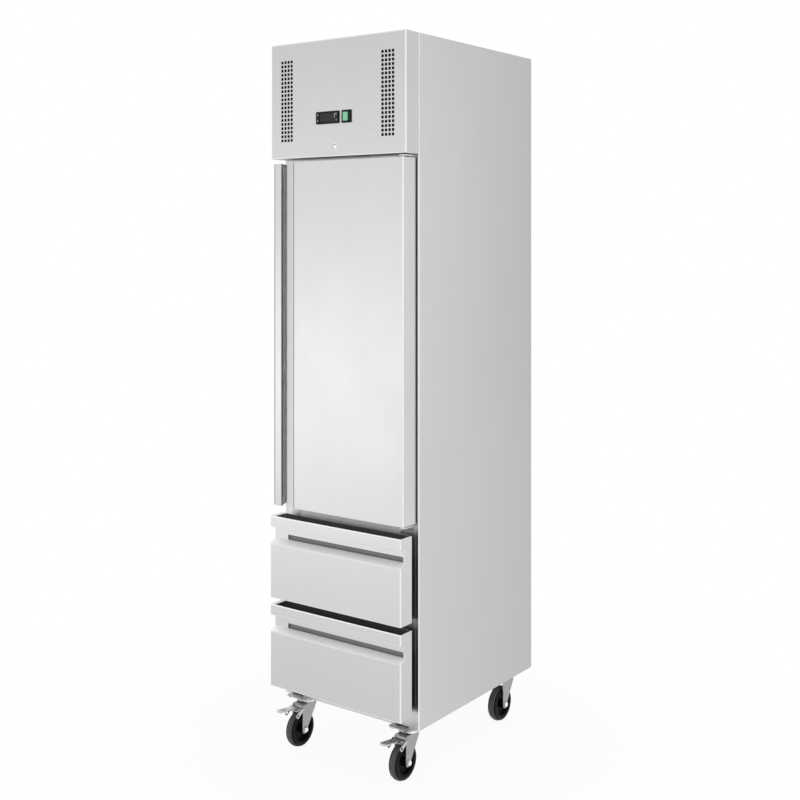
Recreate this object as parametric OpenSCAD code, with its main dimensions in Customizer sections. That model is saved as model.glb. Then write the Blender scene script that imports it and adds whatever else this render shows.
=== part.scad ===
// Slim commercial upright freezer on castors, with one door above two drawers.
// Millimetres. X runs to the right, Y to the back and Z up. The floor is z = 0.

/* [Cabinet] */
// Width of the cabinet over its side panels
body_w = 470; // [440:5:560]
// Depth of the cabinet from its front frame to its back
body_d = 586; // [560:2:700]
// Height of the cabinet without its castors
body_h = 1840; // [1760:10:2000]
// Thickness of the insulated side walls and back wall
wall_t = 60; // [52:1:66]
// Thickness of the insulated floor
floor_t = 74; // [74:1:80]
// Thickness of the insulated ceiling
ceiling_t = 74; // [60:1:76]
// Thickness of the steel sheet
sheet_t = 1; // [0.8:0.1:1.4]
// Width of the folded edges of the side panels
fold_w = 12; // [8:1:16]
// Radius of the coved corners of the liner
cove_r = 12; // [6:1:20]
// Height of the rail between door and upper drawer
door_rail_h = 96; // [94:1:98]
// Height of the rail between the two drawers
drawer_rail_h = 86; // [80:1:90]
// Depth of both cross rails
rail_d = 42; // [30:1:60]

/* [Header] */
// Height of the header panel
header_h = 321; // [300:1:340]
// Distance that the header stands out from the front frame
header_d = 58; // [54:1:62]
// Height of the machine deck above the lower edge of the header
deck_rise = 29; // [26:1:32]
// Width and height of one vent hole
vent_hole = 6.5; // [5:0.5:8]
// Pitch of the vent holes
vent_pitch = 11.5; // [10:0.5:12]
// Columns of vent holes in one grid
vent_cols = 4; // [3:1:5]
// Rows of vent holes in one grid
vent_rows = 20; // [16:1:22]
// Distance from the cabinet side to the middle of the outer vent column
vent_margin = 41.5; // [36:0.5:50]

/* [Controls] */
// Width of the temperature controller
controller_w = 80; // [76:1:84]
// Height of the temperature controller
controller_h = 34; // [32:1:36]
// Distance of the controller from the middle plane
controller_x = -28; // [-36:1:-26]
// Height of the controls above the lower edge of the header
controls_rise = 107; // [90:1:130]
// Depth of the controller behind the header panel
controller_depth = 56; // [40:1:60]
// Thickness of the controller bezel
bezel_t = 4; // [3:0.5:5]
// Width of the display window
display_w = 49; // [45:1:52]
// Height of the display window
display_h = 24; // [20:1:26]
// Width of a controller button
button_w = 9.4; // [8:0.2:10]
// Height of a controller button
button_h = 11.4; // [10:0.2:12]
// Travel of a controller button
button_travel = 0.8; // [0.5:0.1:1]
// Width of the switch bezel
switch_w = 33; // [32:1:35]
// Height of the switch bezel
switch_h = 35; // [33:1:38]
// Distance of the switch from the middle plane
switch_x = 38; // [36:1:50]
// Width of the rocker
rocker_w = 21; // [18:0.5:21.5]
// Height of the rocker
rocker_h = 25; // [22:0.5:26]
// Tilt of the rocker to either side
rocker_tilt = 7; // [5:0.5:8]
// Radius of the lock's face ring
lock_r = 10; // [9:0.5:12]
// Radius of the turning lock plug
plug_r = 6; // [5:0.5:7]
// Distance of the lock from the middle plane
lock_x = -3; // [-20:1:20]
// Height of the lock above the lower edge of the header
lock_rise = 26; // [24:0.5:28]
// Length of the lock tongue from the plug axis
tongue_l = 45; // [42:0.5:46]

/* [Door] */
// Distance of door and drawer fronts from the cabinet's sides
reveal = 7.5; // [5:0.5:10]
// Thickness of the door
door_t = 57; // [50:1:60]
// Gap between the door and the front frame, filled by the seal
door_gap = 4; // [3.5:0.5:6]
// Gap between the door and the header
door_top_gap = 9; // [8:0.5:12]
// Gap between the door and the upper drawer
door_low_gap = 28; // [26:1:32]
// Distance of the hinge axis from the door's edge
hinge_edge = 15; // [12:0.5:15]
// Distance of the hinge axis from the door's face
hinge_face = 19; // [15:0.5:20]
// Radius of the hinge pins
hinge_pin_r = 5; // [4:0.5:6]
// Width of the recessed grip strip in the door
strip_w = 32; // [26:1:40]
// Depth of the recessed grip strip
strip_depth = 8; // [6:0.5:12]
// Width of the grip pocket with the handle bar
pocket_w = 45; // [42:0.5:55]
// Thickness of the door edge behind the grip pocket
pocket_back_t = 10; // [8:0.5:14]
// Radius of the fillet in the grip pocket
pocket_r = 18; // [10:1:24]
// Width of the handle bar, with its bevel
handle_w = 32; // [28:0.5:34]
// Thickness of the handle profile
handle_t = 3; // [2:0.5:4]
// Depth of the lip at the free edge of the handle bar
handle_lip = 9; // [6:0.5:12]
// Size of the bevel on the outer edge of the handle bar
handle_bevel = 5.5; // [3:0.5:8]
// Distance of the handle's lower end from the door's lower edge
handle_low = 12; // [8:1:20]
// Distance of the handle's upper end from the door's upper edge
handle_high = 4; // [3:1:12]
// Distance of the door seal from the door's side edges
seal_side = 24; // [23:0.5:26]
// Distance of the door seal from the door's upper and lower edges
seal_end = 12; // [10:0.5:14]
// Width of the door seal
seal_w = 18; // [14:0.5:18]
// Height of the raised part of the inner door panel
dyke_h = 10; // [6:1:16]

/* [Drawers] */
// Height of a drawer front
front_h = 230; // [226:1:232]
// Thickness of a drawer front
front_t = 49.5; // [44:0.5:52]
// Gap between a drawer front and the front frame
drawer_gap = 21.5; // [18:0.5:26]
// Height of the base rail below the lower drawer front
base_reveal = 40; // [36:1:44]
// Gap between the two drawer fronts
fronts_gap = 18; // [14:1:20]
// Height of the lip at the top of a drawer front
lip_h = 30; // [28:0.5:34]
// Thickness of that lip
lip_t = 2.5; // [2:0.5:4]
// Depth of the channel behind that lip
channel_depth = 25; // [12:1:25]
// Depth of the finger recess below that lip
recess_depth = 20; // [16:0.5:22]
// Height of the recess wall above the finger slot
recess_wall_h = 17; // [14:0.5:20]
// Height of the finger slot
slot_h = 15; // [12:0.5:18]
// Height of the sloping edge below the finger slot
slope_h = 14; // [10:0.5:20]
// Distance of the finger slot from the ends of the front
slot_margin = 16; // [12:1:30]
// Depth of the finger pocket behind the slot
finger_depth = 18; // [14:0.5:20]
// Thickness of the sheet end at either side of a drawer front
front_end_t = 3; // [2:0.5:4]
// Distance of the backing panel from the edges of a drawer front
backing_inset = 20; // [18:0.5:22]
// The same distance at the upper and lower edges
backing_end = 10; // [8:0.5:11]
// Thickness of a drawer seal
drawer_seal_t = 6; // [4:0.5:8]
// Width of a drawer seal
drawer_seal_w = 15; // [12:0.5:16]
// Distance of a drawer box's rim from the upper edge of its front
box_drop = 48; // [34:1:80]
// Length of a drawer box
box_l = 500; // [470:2:510]
// Height of a drawer box above the lower edge of its front
box_rise = 42; // [40:1:44]
// Width of the rolled rim of a drawer box
rim_w = 6; // [4:0.5:8]
// Length of the drawer runners
runner_l = 450; // [400:5:470]
// Width of the drawer runners
runner_w = 13; // [13:0.1:14]
// Height of the drawer runners
runner_h = 44; // [38:1:52]
// Thickness of the runner sections
runner_t = 1.5; // [1.2:0.1:1.8]

/* [Shelves] */
// Number of wire shelves
shelf_count = 3; // [2:1:3]
// Height of the lowest shelf above the door rail
shelf_low = 24; // [20:1:60]
// Pitch of the shelves
shelf_pitch = 265; // [200:5:270]
// Depth of a shelf
shelf_d = 480; // [440:2:490]
// Radius of a shelf's frame rod
shelf_rod_r = 3; // [2.5:0.5:4]
// Radius of a shelf's cross wires
shelf_wire_r = 1.5; // [1.2:0.1:2]
// Number of cross wires in a shelf
shelf_wires = 17; // [11:2:23]
// Width of the upright shelf rails
upright_w = 22; // [18:1:28]
// Thickness of the upright shelf rails
upright_t = 2; // [1.5:0.5:3]

/* [Castors] */
// Height of the cabinet above the floor
castor_h = 142; // [138:1:150]
// Radius of the castor wheels
wheel_r = 50; // [45:1:50]
// Width of the tyres
tyre_w = 27; // [24:1:30]
// Thickness of the tyres
tyre_t = 13; // [9:1:15]
// Radius of the castor axles
axle_r = 4; // [3:0.5:5]
// Trail of the wheel axle from the swivel axis
trail = 28; // [22:1:34]
// Distance of the swivel axes from the cabinet's sides
castor_side = 54.5; // [50:0.5:62]
// Distance of the front swivel axes from the front frame
castor_front = 30; // [26:1:50]
// Distance of the rear swivel axes from the back
castor_back = 66; // [54:1:80]
// Length of a castor's top plate
plate_l = 95; // [92:1:100]
// Width of a castor's top plate
plate_w = 70; // [66:1:76]
// Thickness of a castor's top plate
plate_t = 3; // [2.5:0.5:4]
// Distance between plate bolts along the plate
bolt_l = 76; // [72:1:80]
// Distance between plate bolts across the plate
bolt_w = 52; // [48:1:56]
// Radius of a castor's ball race
race_r = 26; // [24:0.5:28]
// Radius of the castor's kingpin
kingpin_r = 5; // [4:0.5:6]
// Thickness of the fork's pressed steel
fork_t = 2.5; // [2:0.5:3]
// Width of the gap inside the fork
fork_gap = 34; // [33:0.5:38]
// Reach of the brake pedal from the swivel axis
pedal_reach = 116; // [105:1:120]
// Width of the brake pedal
pedal_w = 24; // [20:1:28]
// Thickness of the brake pedal
pedal_t = 2.5; // [2:0.5:3]

/* [Cooling unit] */
// Radius of the compressor shell
compressor_r = 76; // [65:1:82]
// Height of the compressor shell
compressor_h = 186; // [160:2:200]
// Width of the condenser
condenser_w = 262; // [240:2:270]
// Height of the condenser
condenser_h = 236; // [220:2:250]
// Depth of the condenser
condenser_d = 56; // [40:2:60]
// Number of condenser fins that are modelled
condenser_fins = 33; // [21:2:45]
// Radius of the condenser fan
fan_r = 100; // [80:1:105]
// Number of fan blades
fan_blades = 5; // [4:1:7]
// Radius of the evaporator fan
cold_fan_r = 60; // [50:1:66]
// Height of the evaporator housing
cold_box_h = 82; // [78:1:100]
// Depth of the evaporator housing
cold_box_d = 330; // [300:2:360]

/* [Hidden] */
$fn = 48;
gap = 0.3;                 // air between pieces of different bodies
run_gap = 0.05;            // radial clearance of a running fit
seam = 0.1;                // seam between pieces of one body that are made apart
eps = 1;                   // overlap of a cut beyond the face that it cuts
cut_t = 4 * sheet_t;       // depth of a cut that goes through one sheet

base_z = castor_h;
top_z = base_z + body_h;
header_z = top_z - header_h;
deck_z = header_z + deck_rise;
ceiling_z = deck_z - ceiling_t;
floor_z = base_z + floor_t;
front_reach = max(pedal_reach - castor_front, front_t + drawer_gap, header_d + bezel_t);
back_y = (body_d + front_reach) / 2;
frame_y = back_y - body_d;
header_y = frame_y - header_d;
side_x = body_w / 2;
in_x = side_x - wall_t;
in_back_y = back_y - wall_t;
frame_back_y = frame_y + sheet_t;

front_x = side_x - reveal;
low_front_z = base_z + base_reveal;
high_front_z = low_front_z + front_h + fronts_gap;
door_z0 = high_front_z + front_h + door_low_gap;
door_z1 = header_z - door_top_gap;
door_back_y = frame_y - door_gap;
door_y = door_back_y - door_t;
drawer_back_y = frame_y - drawer_gap;
drawer_y = drawer_back_y - front_t;
rail_mid_z = high_front_z - fronts_gap / 2;
door_rail_mid_z = door_z0 - door_low_gap / 2 + 2;
door_rail_z0 = door_rail_mid_z - door_rail_h / 2;
door_rail_z1 = door_rail_z0 + door_rail_h;
drawer_rail_z0 = rail_mid_z - drawer_rail_h / 2;
drawer_rail_z1 = drawer_rail_z0 + drawer_rail_h;

hinge_x = front_x - hinge_edge;
hinge_y = door_y + hinge_face;
lock_z = header_z + lock_rise;
controls_z = header_z + controls_rise;

strip_slope = 3;
bush_r = hinge_pin_r + 4;
bush_l = 18;
pin_l = 14;
bracket_t = 4;
bracket_w = 26;
leg_t = 3;
leg_h = 13;
pin_air = 3;               // gap between a hinge bracket and the door
lock_body_r = plug_r + 2;
lock_body_l = 20;
ring_t = 2;
tongue_w = 12;
tongue_t = 3;
tongue_air = 2;
tongue_y = header_y + lock_body_l + 2;
key_l = 8;
key_w = 1.8;
key_depth = 5;

button_x = controller_w / 2 - 7;
button_z = controller_h / 4 - 0.5;
button_in = 1.6;           // part of a button that stays inside the bezel
button_out = 0.5;          // part of a button that stands proud
case_w = controller_w - 9;
case_h = controller_h - 5.5;
lens_t = 1.5;
switch_bezel_t = 3;
switch_body_w = 28.4;
switch_body_h = 30;
switch_depth = 24;
well_w = rocker_w + 3.4;
well_h = rocker_h + 0.8;
well_depth = 14;
rocker_y = header_y + 6;
rocker_out = 9.5;          // from the rocker's pin to the ends of its face
rocker_mid = 7.6;          // from the rocker's pin to the middle of its face
rocker_in = 3;             // from the rocker's pin to its back
rocker_pin_r = 2;
rocker_pin_l = 1.5;

upright_front = 70;        // from the front frame to the front uprights' middle
upright_back = 76;         // from the liner's back to the rear uprights' middle
slot_pitch = 53;
upright_slot_w = 8;
upright_slot_h = 10;
clip_l = 12;
clip_t = 2;
clip_h = 14;
shelf_air = 7;
shelf_front_y = frame_y + 24;
upright_z0 = door_rail_z1 + 10;

box_x = in_x - runner_w;
box_h = front_h - box_rise - box_drop;
rail_y = frame_y + 5;
runner_play = 0.5;         // clearance between two runner sections
section_step = runner_t + runner_play;
section_depth = 5.5;
mid_half_h = runner_h / 2 - section_step;
inner_half_h = mid_half_h - section_step;
runner_low_z = low_front_z + box_rise + box_h / 2;
runner_high_z = high_front_z + box_rise + box_h / 2;

lip_z = front_h - lip_h;   // heights in a drawer front, from its lower edge
slot_z1 = lip_z - recess_wall_h;
slot_z0 = slot_z1 - slot_h;
slope_z = slot_z0 - slope_h;
pocket_wall = 2;
pocket_y = recess_depth + finger_depth;
pocket_z = lip_z - 2 * pocket_wall;
grip_z = slot_z0 + seam;   // lower edge of the grip rail, which sits on the face tray

plate_z = castor_h - plate_t;
race_z = plate_z - 8;
crown_z = race_z - 9;
front_castor_y = frame_y + castor_front;
rear_castor_y = back_y - castor_back;
castor_x = side_x - castor_side;
fork_front = race_r - 6;   // front end of a fork's crown, from the swivel axis
fork_back = race_r + 12;   // back end of a fork's crown, from the swivel axis
leg_x = fork_gap / 2;
boss_r = 11;
bolt_r = 4;
bolt_head_r = 6.5;
bolt_head_h = 4;
pedal_pin_y = -trail - 14; // pedal pin, from the swivel axis
pedal_pin_z = crown_z - 13;
pedal_pin_r = 3;
pedal_rise = 11;           // rise of the pedal from its pin to its tip

blade_t = 1.6;
unit_x = side_x - 18 - condenser_w / 2;
condenser_y = frame_y + 26;
condenser_z = deck_z + 10;
shroud_t = 14;
fan_y = condenser_y + condenser_d + shroud_t;
fan_z = condenser_z + condenser_h / 2;
fan_depth = 26;
fan_shaft_r = 4;
fan_hub_r = 26;
motor_r = 34;
motor_l = 60;
coil_end = 8;              // length of the coil tubes outside the end plates
coil_levels = 8;
compressor_side = 38;      // from the compressor to the cabinet's side
compressor_back = 110;     // from the compressor to the cabinet's back
compressor_x = -side_x + compressor_r + compressor_side;
compressor_y = back_y - compressor_r - compressor_back;
foot_h = 14;
cold_box_y1 = in_back_y - 3;
cold_box_y0 = cold_box_y1 - cold_box_d;
cold_box_z = ceiling_z - cold_box_h;
cold_fan_front = 30;       // from the evaporator fan to its housing's front
cold_fan_y = cold_box_y0 + cold_fan_r + cold_fan_front;
cold_box_x = in_x - cove_r - 2;
cold_motor_r = 26;
cold_motor_h = 34;
cold_shaft_r = 3;
cold_hub_r = 17;
cold_fan_depth = 22;
cold_fan_z = cold_box_z + 4;

// Shared shapes

module block(lo, hi) {
    translate(lo) cube(hi - lo);
}

module rounded_rect(w, h, r) {
    square([w - 2 * r, h], center = true);
    square([w, h - 2 * r], center = true);
    for (sx = [-1, 1], sz = [-1, 1]) translate([sx * (w / 2 - r), sz * (h / 2 - r)]) circle(r);
}

module ring_frame(x, z0, z1, w, y0, y1) {
    difference() {
        block([-x, y0, z0], [x, y1, z1]);
        block([-x + w, y0 - eps, z0 + w], [x - w, y1 + eps, z1 - w]);
    }
}

module along_x(x0, x1, r) {
    translate([x0, 0, 0]) rotate([0, 90, 0]) cylinder(h = x1 - x0, r = r);
}

module along_y(y0, y1, r) {
    translate([0, y1, 0]) rotate([90, 0, 0]) cylinder(h = y1 - y0, r = r);
}

module both_sides() {
    children();
    mirror([1, 0, 0]) children();
}

module pipe(points, r) {
    elbow_r = r + 0.5;
    for (i = [0 : len(points) - 2]) {
        step = points[i + 1] - points[i];
        length = norm(step);
        tilt = acos(step[2] / length);
        translate(points[i]) rotate([0, tilt, atan2(step[1], step[0])]) cylinder(h = length, r = r);
        if (i > 0) translate(points[i]) sphere(elbow_r);
    }
}

module blades(count, r, hub_r, depth, pitch, chord) {
    root = hub_r - 2;
    cylinder(h = depth, r = hub_r);
    for (i = [0 : count - 1]) rotate([0, 0, i * 360 / count]) intersection() {
        translate([0, 0, depth / 2]) rotate([pitch, 0, 0])
            translate([root, -chord / 2, -blade_t / 2]) cube([r, chord, blade_t]);
        cylinder(h = depth, r = r);
    }
}

// Cabinet

module side_panel() {
    color("gainsboro") {
        block([side_x - sheet_t, frame_y, base_z], [side_x, back_y, top_z]);
        block([side_x - fold_w, frame_y, base_z], [side_x, frame_back_y, top_z]);
        block([side_x - fold_w, frame_y, top_z - sheet_t], [side_x, back_y, top_z]);
    }
}

module back_panel() {
    color("silver")
        block([-side_x + sheet_t, back_y - sheet_t, base_z], [side_x - sheet_t, back_y, deck_z]);
}

module rear_guard() {
    half_w = side_x - sheet_t;
    slot_w = half_w / 2;
    slot_step = 1.2 * slot_w;
    slot_t = 8;
    rows = 9;
    pitch = (top_z - deck_z) / (rows + 1);
    color("silver") difference() {
        block([-half_w, back_y - sheet_t, deck_z], [half_w, back_y, top_z - sheet_t]);
        for (row = [1 : rows], col = [-1 : 1])
            translate([col * slot_step, back_y, deck_z + row * pitch])
                cube([slot_w, cut_t, slot_t], center = true);
    }
}

module base_pan() {
    color("silver") block([-side_x + sheet_t, frame_back_y, base_z],
        [side_x - sheet_t, back_y - sheet_t, base_z + sheet_t]);
}

module unit_deck() {
    upstand = 18;
    color("silver") {
        block([-side_x + sheet_t, frame_back_y, deck_z - sheet_t],
            [side_x - sheet_t, back_y - sheet_t, deck_z]);
        block([-side_x + fold_w, frame_back_y, deck_z],
            [side_x - fold_w, frame_back_y + sheet_t, deck_z + upstand]);
    }
}

module insulation() {
    low = base_z + sheet_t;
    high = deck_z - sheet_t;
    inner_x = in_x + sheet_t;
    outer_x = side_x - sheet_t;
    back = in_back_y + sheet_t;
    slab_x = inner_x - seam;
    color("khaki") {
        both_sides() block([inner_x, frame_back_y, low], [outer_x, back_y - sheet_t, high]);
        block([-slab_x, back + seam, low], [slab_x, back_y - sheet_t, high]);
        block([-slab_x, frame_back_y, low], [slab_x, back, floor_z - sheet_t]);
        block([-slab_x, frame_back_y, ceiling_z + sheet_t], [slab_x, back, high]);
    }
}

module cabinet_liner() {
    height = ceiling_z - floor_z;
    depth = in_back_y - frame_back_y;
    shell_w = 2 * (in_x + sheet_t);
    shell_h = height + 2 * sheet_t;
    color("gainsboro") translate([0, frame_back_y, floor_z + height / 2]) rotate([-90, 0, 0]) difference() {
        linear_extrude(depth + sheet_t) rounded_rect(shell_w, shell_h, cove_r + sheet_t);
        translate([0, 0, -eps]) linear_extrude(depth + eps) rounded_rect(2 * in_x, height, cove_r);
    }
}

module front_frame() {
    strip_x = side_x - fold_w;
    rails = [[door_rail_z0, door_rail_z1], [drawer_rail_z0, drawer_rail_z1]];
    strips = [[base_z, floor_z], [ceiling_z, deck_z]];
    color("lightgray") {
        both_sides() block([in_x, frame_y, base_z], [strip_x, frame_back_y, deck_z]);
        for (z = strips) block([-in_x + seam, frame_y, z[0]], [in_x - seam, frame_back_y, z[1]]);
        for (z = rails) block([-in_x + seam, frame_y, z[0]], [in_x - seam, frame_y + rail_d, z[1]]);
    }
}

// Shelves

function shelf_z(i) = door_rail_z1 + shelf_low + i * shelf_pitch;

module upright() {
    top_air = 12;
    top = cold_box_z - top_air;
    slots = floor((top - upright_z0) / slot_pitch);
    first_z = upright_z0 + 0.6 * slot_pitch;
    difference() {
        block([in_x - upright_t, -upright_w / 2, upright_z0], [in_x, upright_w / 2, top]);
        for (i = [0 : slots - 1]) translate([in_x - upright_t / 2, 0, first_z + i * slot_pitch])
            cube([2 * upright_t, upright_slot_w, upright_slot_h], center = true);
    }
}

module clip(z) {
    face_x = in_x - upright_t;
    block([face_x - clip_t, -clip_l / 2, z - clip_h], [face_x, clip_l / 2, z]);
    block([face_x - clip_l, -clip_l / 2, z - clip_t], [face_x - clip_t, clip_l / 2, z]);
}

module shelf_supports() {
    color("silver") both_sides() for (y = [frame_y + upright_front, in_back_y - upright_back])
        translate([0, y, 0]) {
            upright();
            for (i = [0 : shelf_count - 1]) clip(shelf_z(i));
        }
}

module wire_shelf() {
    half_w = in_x - shelf_air - shelf_rod_r;
    depth = shelf_d - 2 * shelf_rod_r;
    pitch = 2 * half_w / (shelf_wires + 1);
    wire_z = shelf_rod_r + shelf_wire_r / 2;
    cross_z = wire_z - 1.8 * shelf_wire_r;
    for (side = [-1, 1]) translate([side * half_w, 0, 0]) along_y(0, depth, shelf_rod_r);
    for (end = [0, depth]) translate([0, end, 0]) along_x(-half_w, half_w, shelf_rod_r);
    for (side = [-1, 1], end = [0, depth]) translate([side * half_w, end, 0]) sphere(shelf_rod_r);
    for (i = [1 : shelf_wires])
        translate([-half_w + i * pitch, 0, wire_z]) along_y(0, depth, shelf_wire_r);
    for (share = [1 / 3, 2 / 3])
        translate([0, share * depth, cross_z]) along_x(-half_w, half_w, shelf_wire_r);
}

module wire_shelves() {
    color("white") for (i = [0 : shelf_count - 1])
        translate([0, shelf_front_y + shelf_rod_r, shelf_z(i) + shelf_rod_r]) wire_shelf();
}

// Cold side of the cooling unit

module evaporator_cover() {
    slot_h = 30;
    slot_w = 12;
    slot_count = 15;
    slot_edge = 30;
    slot_half = cold_box_x - slot_edge;
    slot_step = 2 * slot_half / (slot_count - 1);
    slot_z = (cold_box_z + ceiling_z) / 2;
    mouth_r = cold_fan_r + 4;
    wall_x = cold_box_x - sheet_t;
    color("white") difference() {
        block([-cold_box_x, cold_box_y0, cold_box_z], [cold_box_x, cold_box_y1, ceiling_z]);
        block([-wall_x, cold_box_y0 + sheet_t, cold_box_z + sheet_t],
            [wall_x, cold_box_y1 - sheet_t, ceiling_z + eps]);
        translate([0, cold_fan_y, cold_box_z - eps]) cylinder(h = cut_t, r = mouth_r);
        for (i = [0 : slot_count - 1]) translate([-slot_half + i * slot_step, cold_box_y0, slot_z])
            cube([slot_w, cut_t, slot_h], center = true);
    }
    color("slategray") evaporator_motor();
}

module evaporator_coil() {
    fins = 24;
    fin_t = 0.6;
    side_air = 22;
    fan_air = 18;
    back_air = 8;
    low_air = 10;
    tube_r = 4;
    tube_out = 6;
    half_w = cold_box_x - side_air;
    y0 = cold_fan_y + cold_fan_r + fan_air;
    y1 = cold_box_y1 - back_air;
    z0 = cold_box_z + low_air;
    tube_x = half_w + tube_out;
    rows = 3;
    row_step = (y1 - y0) / (rows + 1);
    level_step = (ceiling_z - z0) / 3;
    color("lightsteelblue") {
        for (i = [0 : fins]) translate([-half_w + i * 2 * half_w / fins, 0, 0])
            block([-fin_t / 2, y0, z0], [fin_t / 2, y1, ceiling_z]);
        for (row = [1 : rows], level = [1, 2])
            translate([0, y0 + row * row_step, z0 + level * level_step]) along_x(-tube_x, tube_x, tube_r);
    }
}

module evaporator_motor() {
    strap_x = cold_box_x - sheet_t - seam;
    strap_w = 16;
    strap_t = 2;
    motor_z0 = cold_fan_z + cold_fan_depth + 2;
    motor_z1 = motor_z0 + cold_motor_h;
    shaft_z = cold_fan_z + 2;
    translate([0, cold_fan_y, 0]) {
        translate([0, 0, motor_z0]) cylinder(h = cold_motor_h, r = cold_motor_r);
        translate([0, 0, shaft_z]) cylinder(h = motor_z0 - shaft_z + eps, r = cold_shaft_r);
        block([-strap_x, -strap_w / 2, motor_z1 - strap_t], [strap_x, strap_w / 2, motor_z1]);
    }
}

module evaporator_fan() {
    chord = 34;
    pitch = 26;
    color("dimgray") translate([0, cold_fan_y, cold_fan_z]) difference() {
        blades(fan_blades, cold_fan_r, cold_hub_r, cold_fan_depth, pitch, chord);
        translate([0, 0, -eps]) cylinder(h = cold_fan_depth + 2 * eps, r = cold_shaft_r + run_gap);
    }
}

// Header and controls

module vent_grid(x) {
    row_mid = (vent_rows - 1) / 2;
    mid_z = header_z + header_h / 2;
    for (col = [0 : vent_cols - 1], row = [0 : vent_rows - 1])
        translate([x + col * vent_pitch, header_y, mid_z + (row - row_mid) * vent_pitch])
            cube([vent_hole, cut_t, vent_hole], center = true);
}

module header_panel() {
    inner_x = side_x - sheet_t;
    inner_y = header_y + sheet_t;
    inner_z = header_z + sheet_t;
    leg_y = frame_y - leg_t - 2;
    vent_x = side_x - vent_margin;
    tongue_back = tongue_y + tongue_t + tongue_air;
    color("lightgray") difference() {
        block([-side_x, header_y, header_z], [side_x, frame_y, top_z]);
        block([-inner_x, inner_y, inner_z], [inner_x, frame_y + eps, top_z - sheet_t]);
        block([-inner_x, leg_y, header_z - eps], [inner_x, frame_y + eps, inner_z + eps]);
        vent_grid(-vent_x);
        vent_grid(vent_x - (vent_cols - 1) * vent_pitch);
        translate([controller_x, header_y, controls_z]) cube([case_w, cut_t, case_h], center = true);
        translate([switch_x, header_y, controls_z])
            cube([switch_body_w, cut_t, switch_body_h], center = true);
        translate([lock_x, 0, lock_z]) along_y(header_y - eps, inner_y + eps, lock_body_r);
        block([lock_x - tongue_w / 2 - tongue_air, tongue_y - tongue_air, header_z - eps],
            [lock_x + tongue_l, tongue_back, inner_z + eps]);
    }
}

module controller_case() {
    well_y = -bezel_t + button_in + button_travel + gap;
    well_x = button_w / 2 + gap;
    well_z = button_h / 2 + gap;
    color("black") translate([controller_x, header_y, controls_z]) difference() {
        union() {
            block([-controller_w / 2, -bezel_t, -controller_h / 2], [controller_w / 2, 0, controller_h / 2]);
            block([-case_w / 2, 0, -case_h / 2], [case_w / 2, controller_depth, case_h / 2]);
        }
        block([-display_w / 2, -bezel_t - eps, -display_h / 2],
            [display_w / 2, -bezel_t + lens_t, display_h / 2]);
        for (sx = [-1, 1], sz = [-1, 1]) translate([sx * button_x, 0, sz * button_z])
            block([-well_x, -bezel_t - eps, -well_z], [well_x, well_y, well_z]);
    }
}

module display_lens() {
    color("midnightblue") translate([controller_x, header_y - bezel_t, controls_z])
        block([-display_w / 2, 0, -display_h / 2], [display_w / 2, lens_t, display_h / 2]);
}

module button(sx, sz) {
    color("dimgray")
        translate([controller_x + sx * button_x, header_y - bezel_t, controls_z + sz * button_z])
            block([-button_w / 2, -button_out, -button_h / 2], [button_w / 2, button_in, button_h / 2]);
}

module switch_bezel() {
    half_w = switch_body_w / 2;
    half_h = switch_body_h / 2;
    pin_z = well_h / 2 + rocker_pin_l;
    color("black") translate([switch_x, header_y, controls_z]) difference() {
        union() {
            block([-switch_w / 2, -switch_bezel_t, -switch_h / 2], [switch_w / 2, 0, switch_h / 2]);
            block([-half_w, 0, -half_h], [half_w, switch_depth, half_h]);
        }
        block([-well_w / 2, -switch_bezel_t - eps, -well_h / 2], [well_w / 2, well_depth, well_h / 2]);
        translate([0, rocker_y - header_y, -pin_z]) cylinder(h = 2 * pin_z, r = rocker_pin_r + run_gap);
    }
}

module switch_rocker() {
    half = rocker_w / 2;
    foot = half - 1.5;
    pin_half = well_h / 2 + rocker_pin_l - gap;
    color("mediumseagreen") translate([switch_x, rocker_y, controls_z]) rotate([0, 0, rocker_tilt]) {
        translate([0, 0, -rocker_h / 2]) linear_extrude(rocker_h) polygon([
            [-half, -rocker_out], [0, -rocker_mid], [half, -rocker_out],
            [foot, rocker_in], [-foot, rocker_in]]);
        translate([0, 0, -pin_half]) cylinder(h = 2 * pin_half, r = rocker_pin_r);
    }
}

module lock_housing() {
    color("silver") translate([lock_x, 0, lock_z]) difference() {
        union() {
            along_y(header_y - ring_t, header_y, lock_r);
            along_y(header_y - ring_t / 2, header_y + lock_body_l, lock_body_r);
        }
        along_y(header_y - ring_t - eps, header_y + lock_body_l + eps, plug_r + run_gap);
    }
}

module lock_plug() {
    tip_x = tongue_l - tongue_w / 2;
    tongue_back = tongue_y + tongue_t;
    key_turn = 30;
    color("silver") translate([lock_x, 0, lock_z]) difference() {
        union() {
            along_y(header_y - ring_t, tongue_back, plug_r);
            block([0, tongue_y, -tongue_w / 2], [tip_x, tongue_back, tongue_w / 2]);
            translate([tip_x, 0, 0]) along_y(tongue_y, tongue_back, tongue_w / 2);
        }
        rotate([0, key_turn, 0]) translate([0, header_y - ring_t, 0])
            cube([key_w, 2 * key_depth, key_l], center = true);
    }
}

// Warm side of the cooling unit

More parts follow.
